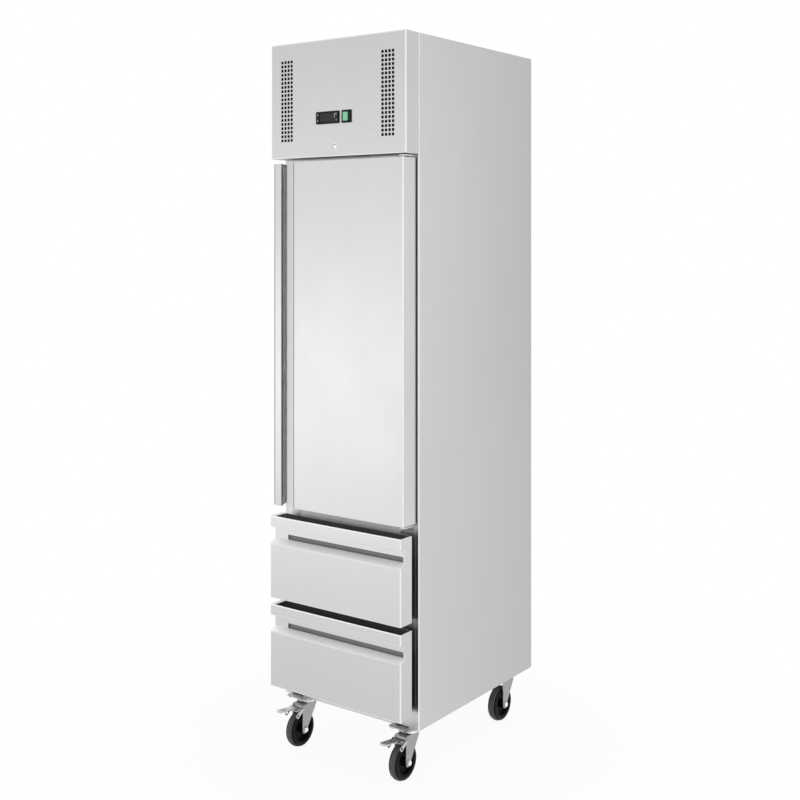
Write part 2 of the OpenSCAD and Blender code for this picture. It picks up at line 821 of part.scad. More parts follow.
module compressor() {
    rim = 4;
    shoulder = 26;
    core_r = compressor_r - shoulder;
    weld_z = 0.55 * compressor_h;
    plate = 3;
    plate_half = 0.75 * compressor_r;
    foot_r = 11;
    foot_x = 0.62 * compressor_r;
    cap_half = 24;
    cap_z0 = 0.35 * compressor_h;
    cap_h = 50;
    cap_out = 22;
    low_bend = [for (a = [-90 : 15 : 0])
        [core_r + shoulder * cos(a), plate + shoulder + shoulder * sin(a)]];
    high_bend = [for (a = [0 : 15 : 90])
        [core_r + shoulder * cos(a), compressor_h - shoulder + shoulder * sin(a)]];
    weld = [[compressor_r, weld_z], [compressor_r + rim, weld_z],
        [compressor_r + rim, weld_z + rim], [compressor_r, weld_z + rim]];
    color("dimgray") translate([compressor_x, compressor_y, deck_z + foot_h]) {
        rotate_extrude() polygon(concat([[0, plate]], low_bend, weld, high_bend, [[0, compressor_h]]));
        block([-plate_half, -plate_half, 0], [plate_half, plate_half, plate]);
        block([core_r, -cap_half, cap_z0], [compressor_r + cap_out, cap_half, cap_z0 + cap_h]);
    }
    color("black") translate([compressor_x, compressor_y, deck_z])
        for (sx = [-1, 1], sy = [-1, 1])
            translate([sx * foot_x, sy * foot_x, 0]) cylinder(h = foot_h, r = foot_r);
}

module condenser() {
    half = condenser_w / 2;
    fin_t = 0.6;
    fin_inset = 2;
    plate = 1.5;
    tube_r = 4.5;
    fin_step = condenser_w / (condenser_fins + 1);
    level_step = condenser_h / (coil_levels + 1);
    color("silver") translate([unit_x, condenser_y, condenser_z]) {
        for (side = [-1, 1]) translate([side * (half - plate / 2), 0, 0])
            block([-plate / 2, 0, deck_z - condenser_z], [plate / 2, condenser_d, condenser_h]);
        for (i = [1 : condenser_fins]) translate([-half + i * fin_step, 0, 0])
            block([-fin_t / 2, fin_inset, 0], [fin_t / 2, condenser_d - fin_inset, condenser_h]);
        for (row = [1, 2], level = [1 : coil_levels])
            translate([0, row * condenser_d / 3, level * level_step])
                along_x(-half - coil_end, half + coil_end, tube_r);
    }
}

module fan_motor() {
    air = 4;
    arm = 5;
    half_w = condenser_w / 2;
    top = condenser_z + condenser_h;
    motor_y = fan_y + fan_depth + air;
    motor_mid = motor_y + motor_l / 2;
    post_x = fan_r + 2.5 * arm;
    arm_l = 2 * post_x + arm;
    color("slategray") translate([unit_x, 0, 0]) {
        difference() {
            block([-half_w, fan_y - shroud_t, deck_z], [half_w, fan_y, top]);
            translate([0, 0, fan_z]) along_y(fan_y - shroud_t - eps, fan_y + eps, fan_r + air);
            block([-half_w + sheet_t, fan_y - shroud_t - eps, deck_z + sheet_t],
                [half_w - sheet_t, fan_y - sheet_t, top - sheet_t]);
        }
        translate([0, 0, fan_z]) {
            along_y(motor_y, motor_y + motor_l, motor_r);
            along_y(fan_y + 2, motor_y + eps, fan_shaft_r);
            for (a = [45, 135]) rotate([0, a, 0]) translate([0, motor_mid, 0])
                cube([arm_l, arm, arm], center = true);
            for (a = [45 : 90 : 315]) rotate([0, a, 0]) translate([post_x, 0, 0])
                along_y(fan_y, motor_mid, arm / 2);
        }
    }
}

module condenser_fan() {
    chord = 62;
    pitch = 24;
    color("dimgray") translate([unit_x, fan_y + fan_depth + 2, fan_z]) rotate([90, 0, 0]) difference() {
        blades(fan_blades, fan_r, fan_hub_r, fan_depth, pitch, chord);
        translate([0, 0, -eps]) cylinder(h = fan_depth + 2 * eps, r = fan_shaft_r + run_gap);
    }
}

module refrigerant_pipes() {
    pipe_r = 4;
    drier_r = 12;
    drier_l = 90;
    shell_top = deck_z + foot_h + compressor_h;
    rise = 20;
    drier_air = 60;
    side_air = 12;
    suction_out = 24;
    high_z = shell_top + rise;
    low_z = deck_z + 2 * rise;
    level_step = condenser_h / (coil_levels + 1);
    tube_y = condenser_y + condenser_d / 3;
    tube_x = unit_x - condenser_w / 2 - coil_end;
    down_x = tube_x - side_air;
    high_tube_z = condenser_z + coil_levels * level_step;
    low_tube_z = condenser_z + level_step;
    drier_y = condenser_y + condenser_d + drier_air;
    drop_y = drier_y + drier_l + rise;
    shell_x = compressor_x + compressor_r;
    color("peru") {
        pipe([[compressor_x, compressor_y, shell_top], [compressor_x, compressor_y, high_z],
            [down_x, compressor_y, high_z], [down_x, tube_y, high_z],
            [down_x, tube_y, high_tube_z], [tube_x, tube_y, high_tube_z]], pipe_r);
        pipe([[tube_x, tube_y, low_tube_z], [down_x, tube_y, low_tube_z], [down_x, tube_y, low_z],
            [down_x, drier_y, low_z]], pipe_r);
        translate([down_x, 0, low_z]) along_y(drier_y, drier_y + drier_l, drier_r);
        pipe([[down_x, drier_y + drier_l, low_z], [down_x, drop_y, low_z],
            [down_x, drop_y, deck_z]], pipe_r);
        pipe([[shell_x, compressor_y, low_z], [shell_x + suction_out, compressor_y, low_z],
            [shell_x + suction_out, compressor_y, deck_z]], pipe_r);
    }
}

module supply_box() {
    half_w = 55;
    depth = 70;
    height = 60;
    gland_r = 9;
    gland_l = 16;
    gland_z = height / 2;
    back_air = 40;
    side_air = 30;
    box_y1 = back_y - back_air;
    color("gray") translate([side_x - half_w - side_air, 0, deck_z]) difference() {
        union() {
            block([-half_w, box_y1 - depth, 0], [half_w, box_y1, height]);
            translate([0, 0, gland_z]) along_y(box_y1 - eps, box_y1 + gland_l, gland_r);
        }
        translate([0, 0, gland_z]) along_y(box_y1, box_y1 + gland_l + eps, gland_r / 2);
    }
}

// Hinges and runners of the cabinet

module hinge_bracket(z, dir) {
    plate_lo = z - dir * (pin_air + bracket_t);
    low = min(plate_lo, plate_lo + dir * bracket_t);
    leg_a = plate_lo - dir * leg_h;
    leg_b = plate_lo + dir * bracket_t;
    half = bracket_w / 2;
    foot = min(side_x - fold_w - hinge_x, half);
    color("silver") {
        translate([hinge_x, 0, 0]) {
            block([-half, hinge_y, low], [foot, frame_y, low + bracket_t]);
            translate([0, hinge_y, low]) cylinder(h = bracket_t, r = foot);
            block([-half, frame_y - leg_t, min(leg_a, leg_b)], [foot, frame_y, max(leg_a, leg_b)]);
        }
        translate([hinge_x, hinge_y, min(plate_lo, z + dir * pin_l)])
            cylinder(h = abs(z + dir * pin_l - plate_lo), r = hinge_pin_r);
    }
}

module hinge_brackets() {
    hinge_bracket(door_z0, 1);
    hinge_bracket(door_z1, -1);
}

// One runner section, a web with two flanges that point to the wall
module runner_section(step, half_h, depth) {
    translate([in_x - step - depth, rail_y, 0]) difference() {
        block([0, 0, -half_h], [depth, runner_l, half_h]);
        block([-eps, -eps, -half_h + runner_t], [depth - runner_t, runner_l + eps, half_h - runner_t]);
    }
}

module drawer_fixed_rails() {
    color("silver") both_sides() for (z = [runner_low_z, runner_high_z])
        translate([0, 0, z]) runner_section(0, runner_h / 2, section_depth);
}

module middle_runner(z) {
    color("silver") both_sides() translate([0, 0, z])
        runner_section(section_step, mid_half_h, section_depth + 1);
}

// Door

// Outline of the door in X and Y, drawn in by t, with its grip strip and grip pocket
function door_outline(t, back) = concat(
    [[-front_x + pocket_w + strip_w, t], [front_x - t, t], [front_x - t, back], [-front_x + t, back],
        [-front_x + t, door_t - pocket_back_t + t]],
    [for (a = [90 : -10 : 0]) [-front_x + pocket_w - pocket_r + (pocket_r + t) * cos(a),
        door_t - pocket_back_t - pocket_r + (pocket_r + t) * sin(a)]],
    [[-front_x + pocket_w + t, strip_depth + t],
        [-front_x + pocket_w + strip_w - strip_slope, strip_depth + t]]);

module door_prism(t, back, z0, z1) {
    translate([0, door_y, z0]) linear_extrude(z1 - z0) polygon(door_outline(t, back));
}

module hinge_bores(r) {
    for (z = [door_z0 - eps, door_z1 - bush_l])
        translate([hinge_x, hinge_y, z]) cylinder(h = bush_l + eps, r = r);
}

module tongue_slot() {
    half_w = tongue_w / 2 + tongue_air;
    reach = sqrt(pow(tongue_l, 2) - pow(lock_z - door_z1, 2)) + 2 * tongue_air;
    block([lock_x - half_w, tongue_y - tongue_air, lock_z - tongue_l - tongue_air],
        [lock_x + reach, tongue_y + tongue_t + tongue_air, door_z1 + eps]);
}

module door_skin() {
    color("whitesmoke") difference() {
        door_prism(0, door_t, door_z0, door_z1);
        door_prism(sheet_t, door_t + eps, door_z0 + sheet_t, door_z1 - sheet_t);
        hinge_bores(bush_r);
        tongue_slot();
    }
}

module door_core() {
    color("khaki") difference() {
        door_prism(sheet_t, door_t - sheet_t, door_z0 + sheet_t, door_z1 - sheet_t);
        hinge_bores(bush_r);
        tongue_slot();
    }
}

module door_inner_panel() {
    x = front_x - sheet_t;
    margin = 15;
    rim = 12;
    dyke_x = in_x - margin;
    dyke_z0 = door_rail_z1 + margin;
    dyke_z1 = ceiling_z - margin;
    dyke_y = door_back_y + dyke_h;
    color("gainsboro") difference() {
        union() {
            block([-x, door_back_y - sheet_t, door_z0 + sheet_t], [x, door_back_y, door_z1 - sheet_t]);
            block([-dyke_x, door_back_y - sheet_t, dyke_z0], [dyke_x, dyke_y, dyke_z1]);
        }
        block([-dyke_x + rim, door_back_y + dyke_h / 2, dyke_z0 + rim],
            [dyke_x - rim, dyke_y + eps, dyke_z1 - rim]);
    }
}

module door_seal() {
    color("dimgray") ring_frame(front_x - seal_side, door_z0 + seal_end, door_z1 - seal_end, seal_w,
        door_back_y, frame_y - gap);
}

module door_handle() {
    foot_y = door_t - pocket_back_t;
    foot_w = 18;
    edge = 2;
    length = door_z1 - door_z0 - handle_low - handle_high;
    bend = 2 * handle_bevel;
    color("silver") translate([-front_x, door_y, door_z0 + handle_low]) linear_extrude(length) polygon([
        [0, foot_y], [0, bend], [handle_bevel, 0], [handle_w - edge, 0], [handle_w, edge],
        [handle_w, handle_lip], [handle_w - handle_t, handle_lip], [handle_w - handle_t, handle_t],
        [handle_bevel + handle_t / 2, handle_t], [handle_t, bend + handle_t / 2],
        [handle_t, foot_y - handle_t], [foot_w, foot_y - handle_t], [foot_w, foot_y]]);
}

module door_bushes() {
    bore_l = pin_l + 2;
    for (end = [[door_z0, -eps], [door_z1 - bush_l, bush_l - bore_l]])
        color("white") translate([hinge_x, hinge_y, end[0]]) difference() {
            cylinder(h = bush_l, r = bush_r);
            translate([0, 0, end[1]]) cylinder(h = bore_l + eps, r = hinge_pin_r + run_gap);
        }
}

// Drawers

// Outlines in Y and Z, from the face and the lower edge of the front
function tray_outline(t, back) = [[t, t], [back, t], [back, slot_z0], [recess_depth + t, slot_z0],
    [recess_depth + t, slot_z0 - t], [t, slope_z - t]];

function grip_outline(open) = concat(
    [[recess_depth, grip_z], [front_t, grip_z], [front_t, front_h]],
    open ? [[front_t - lip_t, front_h], [front_t - lip_t, front_h - channel_depth],
        [lip_t, front_h - channel_depth], [lip_t, front_h]] : [],
    [[0, front_h], [0, lip_z], [recess_depth, lip_z]]);

module yz_prism(outline, x0, x1) {
    translate([x0, 0, 0]) rotate([90, 0, 90]) linear_extrude(x1 - x0) polygon(outline);
}

module face_tray() {
    inner_x = front_x - sheet_t;
    difference() {
        yz_prism(tray_outline(0, front_t), -front_x, front_x);
        yz_prism(tray_outline(sheet_t, front_t + eps), -inner_x, inner_x);
    }
}

module grip_rail() {
    end_x = front_x - front_end_t;
    slot_x = front_x - slot_margin;
    channel_z = front_h - channel_depth - sheet_t;
    difference() {
        union() {
            yz_prism(grip_outline(true), -end_x, end_x);
            yz_prism(grip_outline(false), -front_x, -end_x);
            yz_prism(grip_outline(false), end_x, front_x);
        }
        block([-slot_x, recess_depth - eps, grip_z - eps], [slot_x, pocket_y, slot_z1]);
        block([-slot_x, recess_depth + pocket_wall, grip_z - eps], [slot_x, pocket_y, pocket_z]);
        block([-end_x, pocket_y + sheet_t, grip_z - eps], [end_x, front_t + eps, channel_z]);
    }
}

module drawer_front(z) {
    color("gainsboro") translate([0, drawer_y, z]) {
        face_tray();
        grip_rail();
    }
}

module drawer_backing(z) {
    panel_x = front_x - backing_inset;
    core_x = front_x - front_end_t;
    tray_x = front_x - sheet_t;
    core_top = front_h - channel_depth - sheet_t;
    color("black") {
        block([-panel_x, drawer_back_y, z + backing_end],
            [panel_x, frame_y - drawer_seal_t, z + front_h - backing_end]);
        translate([0, drawer_y, z]) {
            yz_prism(tray_outline(sheet_t, front_t), -tray_x, tray_x);
            block([-core_x, pocket_y + sheet_t, slot_z0 - eps], [core_x, front_t, core_top]);
        }
    }
}

module drawer_seal(z) {
    inset = 4;
    x = front_x - backing_inset - inset;
    low = z + backing_end + inset;
    high = z + front_h - backing_end - inset;
    color("black") ring_frame(x, low, high, drawer_seal_w, frame_y - drawer_seal_t, frame_y - gap);
}

module drawer_box(z) {
    y0 = frame_y - drawer_seal_t;
    y1 = y0 + box_l;
    z0 = z + box_rise;
    z1 = z0 + box_h;
    wall_x = box_x - sheet_t;
    rail_x = box_x + runner_w - 2 * section_step;
    rail_z = z0 + box_h / 2;
    rail_low = rail_z - inner_half_h;
    rail_high = rail_z + inner_half_h;
    color("silver") {
        difference() {
            block([-box_x, y0, z0], [box_x, y1, z1]);
            block([-wall_x, y0 + sheet_t, z0 + sheet_t], [wall_x, y1 - sheet_t, z1 + eps]);
        }
        difference() {
            block([-wall_x, y0 + sheet_t, z1 - rim_w / 2], [wall_x, y1 - sheet_t, z1]);
            block([-box_x + rim_w, y0 + rim_w, z0], [box_x - rim_w, y1 - rim_w, z1 + eps]);
        }
        both_sides() difference() {
            block([box_x, rail_y, rail_low], [rail_x, rail_y + runner_l, rail_high]);
            block([box_x + runner_t, rail_y - eps, rail_low + runner_t],
                [rail_x + eps, rail_y + runner_l + eps, rail_high - runner_t]);
        }
    }
}

// Castors

module castor_place(x, y) {
    translate([x, y, 0]) children();
}

module at_bolts() {
    for (sx = [-1, 1], sy = [-1, 1]) translate([sx * bolt_w / 2, sy * bolt_l / 2, 0]) children();
}

module castor_plate() {
    pin_z = crown_z - fork_t - 2;
    difference() {
        block([-plate_w / 2, -plate_l / 2, plate_z], [plate_w / 2, plate_l / 2, castor_h]);
        at_bolts() translate([0, 0, plate_z - eps]) cylinder(h = plate_t + 2 * eps, r = bolt_r);
    }
    translate([0, 0, race_z + gap]) cylinder(h = plate_z - race_z - gap, r = race_r);
    translate([0, 0, pin_z]) cylinder(h = race_z - pin_z + eps, r = kingpin_r);
}

module plate_bolt() {
    translate([0, 0, plate_z - seam - bolt_head_h]) {
        cylinder(h = bolt_head_h + plate_t, r = bolt_r - seam);
        cylinder(h = bolt_head_h, r = bolt_head_r, $fn = 6);
    }
}

module castor_plates() {
    color("silver") for (x = [-castor_x, castor_x], y = [front_castor_y, rear_castor_y])
        castor_place(x, y) {
            castor_plate();
            at_bolts() plate_bolt();
        }
}

module fork_leg() {
    shoulder_z = crown_z - 12;
    waist_z = crown_z - 26;
    foot_z = wheel_r - 4;
    foot_half = boss_r - 1;
    translate([leg_x, 0, 0]) rotate([90, 0, 90]) linear_extrude(fork_t) polygon([
        [fork_front, crown_z], [fork_front, shoulder_z], [foot_half - trail, foot_z],
        [-foot_half - trail, foot_z], [-trail - boss_r - 4, waist_z], [-fork_back, crown_z]]);
    translate([0, -trail, wheel_r]) along_x(leg_x, leg_x + fork_t, boss_r);
}

module castor_fork() {
    dome_r = race_r + 2;
    dome_h = race_z - crown_z;
    nut_h = 6;
    nut_r = 8;
    outer = leg_x + fork_t;
    color("lightgray") difference() {
        union() {
            both_sides() fork_leg();
            block([-outer, -fork_back, crown_z - fork_t], [outer, fork_front, crown_z]);
            translate([0, 0, crown_z]) rotate_extrude()
                polygon([[0, 0], [dome_r - 4, 0], [dome_r, 4], [dome_r - 3, dome_h], [0, dome_h]]);
        }
        translate([0, 0, crown_z - 2 * fork_t]) cylinder(h = race_z, r = kingpin_r + run_gap);
        translate([0, pedal_pin_y, pedal_pin_z]) along_x(-outer - eps, outer + eps, pedal_pin_r + run_gap);
    }
    color("silver") translate([0, -trail, wheel_r]) {
        along_x(-leg_x, leg_x, axle_r);
        both_sides() translate([outer, 0, 0]) rotate([0, 90, 0]) cylinder(h = nut_h, r = nut_r, $fn = 6);
    }
}

module castor_wheel() {
    hub_r = wheel_r - tyre_t;
    hub_edge = hub_r - seam;
    half = tyre_w / 2;
    crown = 4;
    boss = leg_x - gap;
    bore_r = axle_r + run_gap;
    boss_out = 11;
    rim_r = hub_r - 5;
    rim_x = half - 1;
    web = 3;
    tread = [for (a = [-60 : 20 : 60])
        [wheel_r - crown + crown * cos(a), (half - crown) * sin(a) / sin(60)]];
    color("black") translate([0, -trail, wheel_r]) rotate([0, 90, 0]) {
        rotate_extrude() polygon(concat([[hub_r, -half], [wheel_r - crown, -half]], tread,
            [[wheel_r - crown, half], [hub_r, half]]));
        rotate_extrude() polygon([[bore_r, -boss], [boss_out, -boss], [boss_out, -web], [rim_r, -web],
            [rim_r, -rim_x], [hub_edge, -rim_x], [hub_edge, rim_x], [rim_r, rim_x],
            [rim_r, web], [boss_out, web], [boss_out, boss], [bore_r, boss]]);
    }
}

module brake_pedal() {
    reach = pedal_reach + pedal_pin_y;
    half = pedal_w / 2;
    angle = atan2(pedal_rise, reach);
    plate_reach = reach / cos(angle);
    top = pedal_pin_r + pedal_t;
    rib_reach = 0.6 * reach;
    shoe = pedal_pin_z - 2 * wheel_r;
    pin_half = leg_x + fork_t + 1;
    sleeve_half = leg_x - gap;
    color("silver") translate([0, pedal_pin_y, pedal_pin_z]) {
        along_x(-pin_half, pin_half, pedal_pin_r);
        along_x(-sleeve_half, sleeve_half, top);
        rotate([-angle, 0, 0]) {
            block([-half, -plate_reach, pedal_pin_r], [half, 0, top]);
            block([-half, -plate_reach, 0], [half, -plate_reach + pedal_t, top]);
            both_sides() block([half - pedal_t, -rib_reach, -1], [half, 0, top]);
        }
        block([-half + pedal_t, -shoe - pedal_pin_r, -shoe], [half - pedal_t, -pedal_pin_r, pedal_pin_r]);
    }
}

// Placement

mirror([1, 0, 0]) side_panel();  // side_panel_left
side_panel();  // side_panel_right
back_panel();
rear_guard();
base_pan();
unit_deck();
insulation();
cabinet_liner();
front_frame();
shelf_supports();
wire_shelves();
evaporator_cover();
evaporator_coil();
evaporator_fan();
header_panel();
controller_case();
display_lens();
button(-1, 1);  // button_up
button(-1, -1);  // button_down
button(1, 1);  // button_set
button(1, -1);  // button_defrost
switch_bezel();
switch_rocker();
lock_housing();
lock_plug();
compressor();
condenser();
condenser_fan();
fan_motor();
refrigerant_pipes();
supply_box();
hinge_brackets();
drawer_fixed_rails();
castor_plates();
door_skin();
door_core();
door_inner_panel();
door_seal();
door_handle();
door_bushes();
drawer_front(high_front_z);  // upper_drawer_front
drawer_backing(high_front_z);  // upper_drawer_backing
drawer_seal(high_front_z);  // upper_drawer_seal
drawer_box(high_front_z);  // upper_drawer_box
middle_runner(runner_high_z);  // upper_runner
drawer_front(low_front_z);  // lower_drawer_front
drawer_backing(low_front_z);  // lower_drawer_backing
drawer_seal(low_front_z);  // lower_drawer_seal
drawer_box(low_front_z);  // lower_drawer_box
middle_runner(runner_low_z);  // lower_runner
castor_place(-castor_x, front_castor_y) castor_fork();  // castor_fork_fl
castor_place(castor_x, front_castor_y) castor_fork();  // castor_fork_fr
castor_place(-castor_x, rear_castor_y) castor_fork();  // castor_fork_rl
castor_place(castor_x, rear_castor_y) castor_fork();  // castor_fork_rr
castor_place(-castor_x, front_castor_y) castor_wheel();  // castor_wheel_fl
castor_place(castor_x, front_castor_y) castor_wheel();  // castor_wheel_fr
castor_place(-castor_x, rear_castor_y) castor_wheel();  // castor_wheel_rl
castor_place(castor_x, rear_castor_y) castor_wheel();  // castor_wheel_rr
castor_place(-castor_x, front_castor_y) brake_pedal();  // brake_pedal_l
castor_place(castor_x, front_castor_y) brake_pedal();  // brake_pedal_r
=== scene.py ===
import itertools
import math

import bmesh
import bpy
from mathutils import Matrix, Vector


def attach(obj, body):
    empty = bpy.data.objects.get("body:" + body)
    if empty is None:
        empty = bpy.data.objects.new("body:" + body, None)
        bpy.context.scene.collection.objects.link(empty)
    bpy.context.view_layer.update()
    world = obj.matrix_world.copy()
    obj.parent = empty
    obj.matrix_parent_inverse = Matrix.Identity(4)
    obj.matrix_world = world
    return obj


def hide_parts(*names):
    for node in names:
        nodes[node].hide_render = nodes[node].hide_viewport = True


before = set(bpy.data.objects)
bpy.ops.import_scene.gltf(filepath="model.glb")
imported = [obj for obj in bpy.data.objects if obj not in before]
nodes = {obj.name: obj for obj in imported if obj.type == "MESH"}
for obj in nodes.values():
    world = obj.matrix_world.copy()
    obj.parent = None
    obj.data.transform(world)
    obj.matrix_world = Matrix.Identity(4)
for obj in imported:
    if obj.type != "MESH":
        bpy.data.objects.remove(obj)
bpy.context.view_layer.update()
print("frame loaded,", len(nodes), "nodes")

mm = 0.001  # shapes are drawn in millimetres


# Shader trees

class Wire:  # a socket that takes arithmetic
    def __init__(self, finish, socket):
        self.finish, self.socket = finish, socket

    def math(self, operation, first, second):
        return self.finish.node("Math", {"operation": operation}, {0: first, 1: second})

    def __add__(self, other):
        return self.math("ADD", self, other)

    def __sub__(self, other):
        return self.math("SUBTRACT", self, other)

    def __rsub__(self, other):
        return self.math("SUBTRACT", other, self)

    def __mul__(self, other):
        return self.math("MULTIPLY", self, other)

    __radd__, __rmul__ = __add__, __mul__

    def swing(self, reach):  # a noise value as a change to either side
        return (self - 0.5) * reach


class Finish:  # the shader tree of a material or of the world
    def __init__(self, owner):
        owner.use_nodes = True
        self.owner, self.tree = owner, owner.node_tree
        self.tree.nodes.clear()

    def node(self, kind, settings=None, inputs=None, output=0):
        made = self.tree.nodes.new("ShaderNode" + kind)
        for key, value in (settings or {}).items():
            setattr(made, key, value)
        for key, value in (inputs or {}).items():
            if isinstance(value, Wire):
                self.tree.links.new(value.socket, made.inputs[key])
            else:
                made.inputs[key].default_value = value
        return Wire(self, made.outputs[output]) if len(made.outputs) else made

    def spot(self, stretch=(1, 1, 1)):
        here = self.node("TexCoord", output="Object")
        return self.node("VectorMath", {"operation": "MULTIPLY"}, {0: here, 1: stretch})

    def noise(self, stretch, detail=2.0, roughness=0.5):
        return self.node("TexNoise", {}, {"Vector": self.spot(triple(stretch)), "Scale": 1.0,
                         "Detail": detail, "Roughness": roughness}, "Fac")

    def blend(self, share, first, second, kind="MIX"):
        return self.node("Mix", {"data_type": "RGBA", "blend_type": kind},
                         {0: share, 6: tint(first), 7: tint(second)}, 2)

    def fade(self, value, start, end, first=0.0, last=1.0):
        return self.node("MapRange", {}, {"Value": value, "From Min": start, "From Max": end,
                         "To Min": first, "To Max": last}, "Result")

    def surface(self, colour, roughness, height, strength, more={"Metallic": 1.0}):
        bump = self.node("Bump", {}, {"Height": height, "Strength": strength, "Distance": bumpDepth})
        shader = self.node("BsdfPrincipled", {}, {"Base Color": colour, "Roughness": roughness,
                           "Normal": bump, **more})
        self.node("OutputMaterial", {}, {"Surface": shader})
        return self.owner


def triple(value):
    return (value, value, value) if isinstance(value, (int, float)) else value


def tint(colour):
    return colour if isinstance(colour, Wire) else (*triple(colour)[:3], 1)


def material(name):
    return Finish(bpy.data.materials.new(name))


# Finishes

bumpDepth = 0.0002  # in metres
steel = {"rough": 0.34, "grainShade": 0.05, "cloudShade": 0.03, "bump": 0.05, "hairPitch": 3.1,
         "clouds": (2.6, 2.6, 1.7), "smears": (9, 9, 5), "streakShare": 1.3, "hairShare": 0.7,
         "streakRough": 0.12, "smearRough": 0.1}


def brushedSteel(name, tone, grain, rough=0.0, paintedLightFades=()):  # a fade of painted light and shade: axis, from, to, first, last
    s, finish = steel, material(name)
    streaks, hairs = finish.noise(grain, 3.0, 0.65), finish.noise([g * s["hairPitch"] for g in grain], 1.0)
    clouds, smears = finish.noise(s["clouds"]), finish.noise(s["smears"], 4.0, 0.6)
    mask = 0.5 + streaks.swing(s["streakShare"]) + hairs.swing(s["hairShare"])
    spread, drift = tone * s["grainShade"], tone * s["cloudShade"]
    colour = finish.blend(mask, tone - spread, tone + spread)
    # each fade paints light and shade into the colour, lighter or darker along one axis
    for axis, start, end, first, last in paintedLightFades:
        place = finish.node("SeparateXYZ", {}, {0: finish.spot()}, axis)
        shade = finish.blend(finish.fade(place, start, end), first, last)
        colour = finish.blend(1.0, colour, shade, "MULTIPLY")
    colour = finish.blend(1.0, colour, finish.blend(clouds, 1 - drift, 1 + drift), "MULTIPLY")
    roughness = s["rough"] + rough + streaks.swing(s["streakRough"]) + smears.swing(s["smearRough"])
    return finish.surface(colour, roughness, mask, s["bump"])


metal = {"specks": 9, "spotRough": 0.16, "speckRough": 0.06, "bump": 0.08}


def plainMetal(name, tone, rough, blotch, size, colour=(1, 1, 1)):
    finish = material(name)
    spots, specks = finish.noise(size, 4.0, 0.6), finish.noise(size * metal["specks"])
    low, high = ([tone * share * c for c in colour] for share in (1 - blotch, 1 + blotch))
    roughness = rough + spots.swing(metal["spotRough"]) + specks.swing(metal["speckRough"])
    return finish.surface(finish.blend(spots, low, high), roughness, specks, metal["bump"])


flakes = {"scale": 95.0, "dust": 6, "share": 0.65, "dark": 0.86, "light": 1.1, "rough": 0.36, "flakeRough": 0.16,
          "dustRough": 0.1, "bump": 0.06}


def galvanised(name, tone):
    f, finish = flakes, material(name)
    cells = finish.node("TexVoronoi", {}, {"Vector": finish.spot(), "Scale": f["scale"]}, "Color")
    flake = finish.node("SeparateColor", {}, {"Color": cells}, 0)
    dust = finish.noise(f["dust"], 3.0)
    mask = flake * f["share"] + dust * (1 - f["share"])
    roughness = f["rough"] + flake * f["flakeRough"] + dust.swing(f["dustRough"])
    return finish.surface(finish.blend(mask, tone * f["dark"], tone * f["light"]), roughness, mask, f["bump"])


resin = {"drift": 14, "shade": 0.07, "driftRough": 0.1, "grainRough": 0.05}


def plastic(name, colour, rough, grainSize, shine=0.5, bump=0.06, coat=0.0):
    finish = material(name)
    grain, drift = finish.noise(grainSize), finish.noise(resin["drift"], 3.0)
    low, high = ([min(share * c, 1) for c in triple(colour)] for share in (1 - resin["shade"], 1 + resin["shade"]))
    roughness = rough + drift.swing(resin["driftRough"]) + grain.swing(resin["grainRough"])
    return finish.surface(finish.blend(drift, low, high), roughness, grain, bump,
                          {"Specular IOR Level": shine, "Coat Weight": coat})


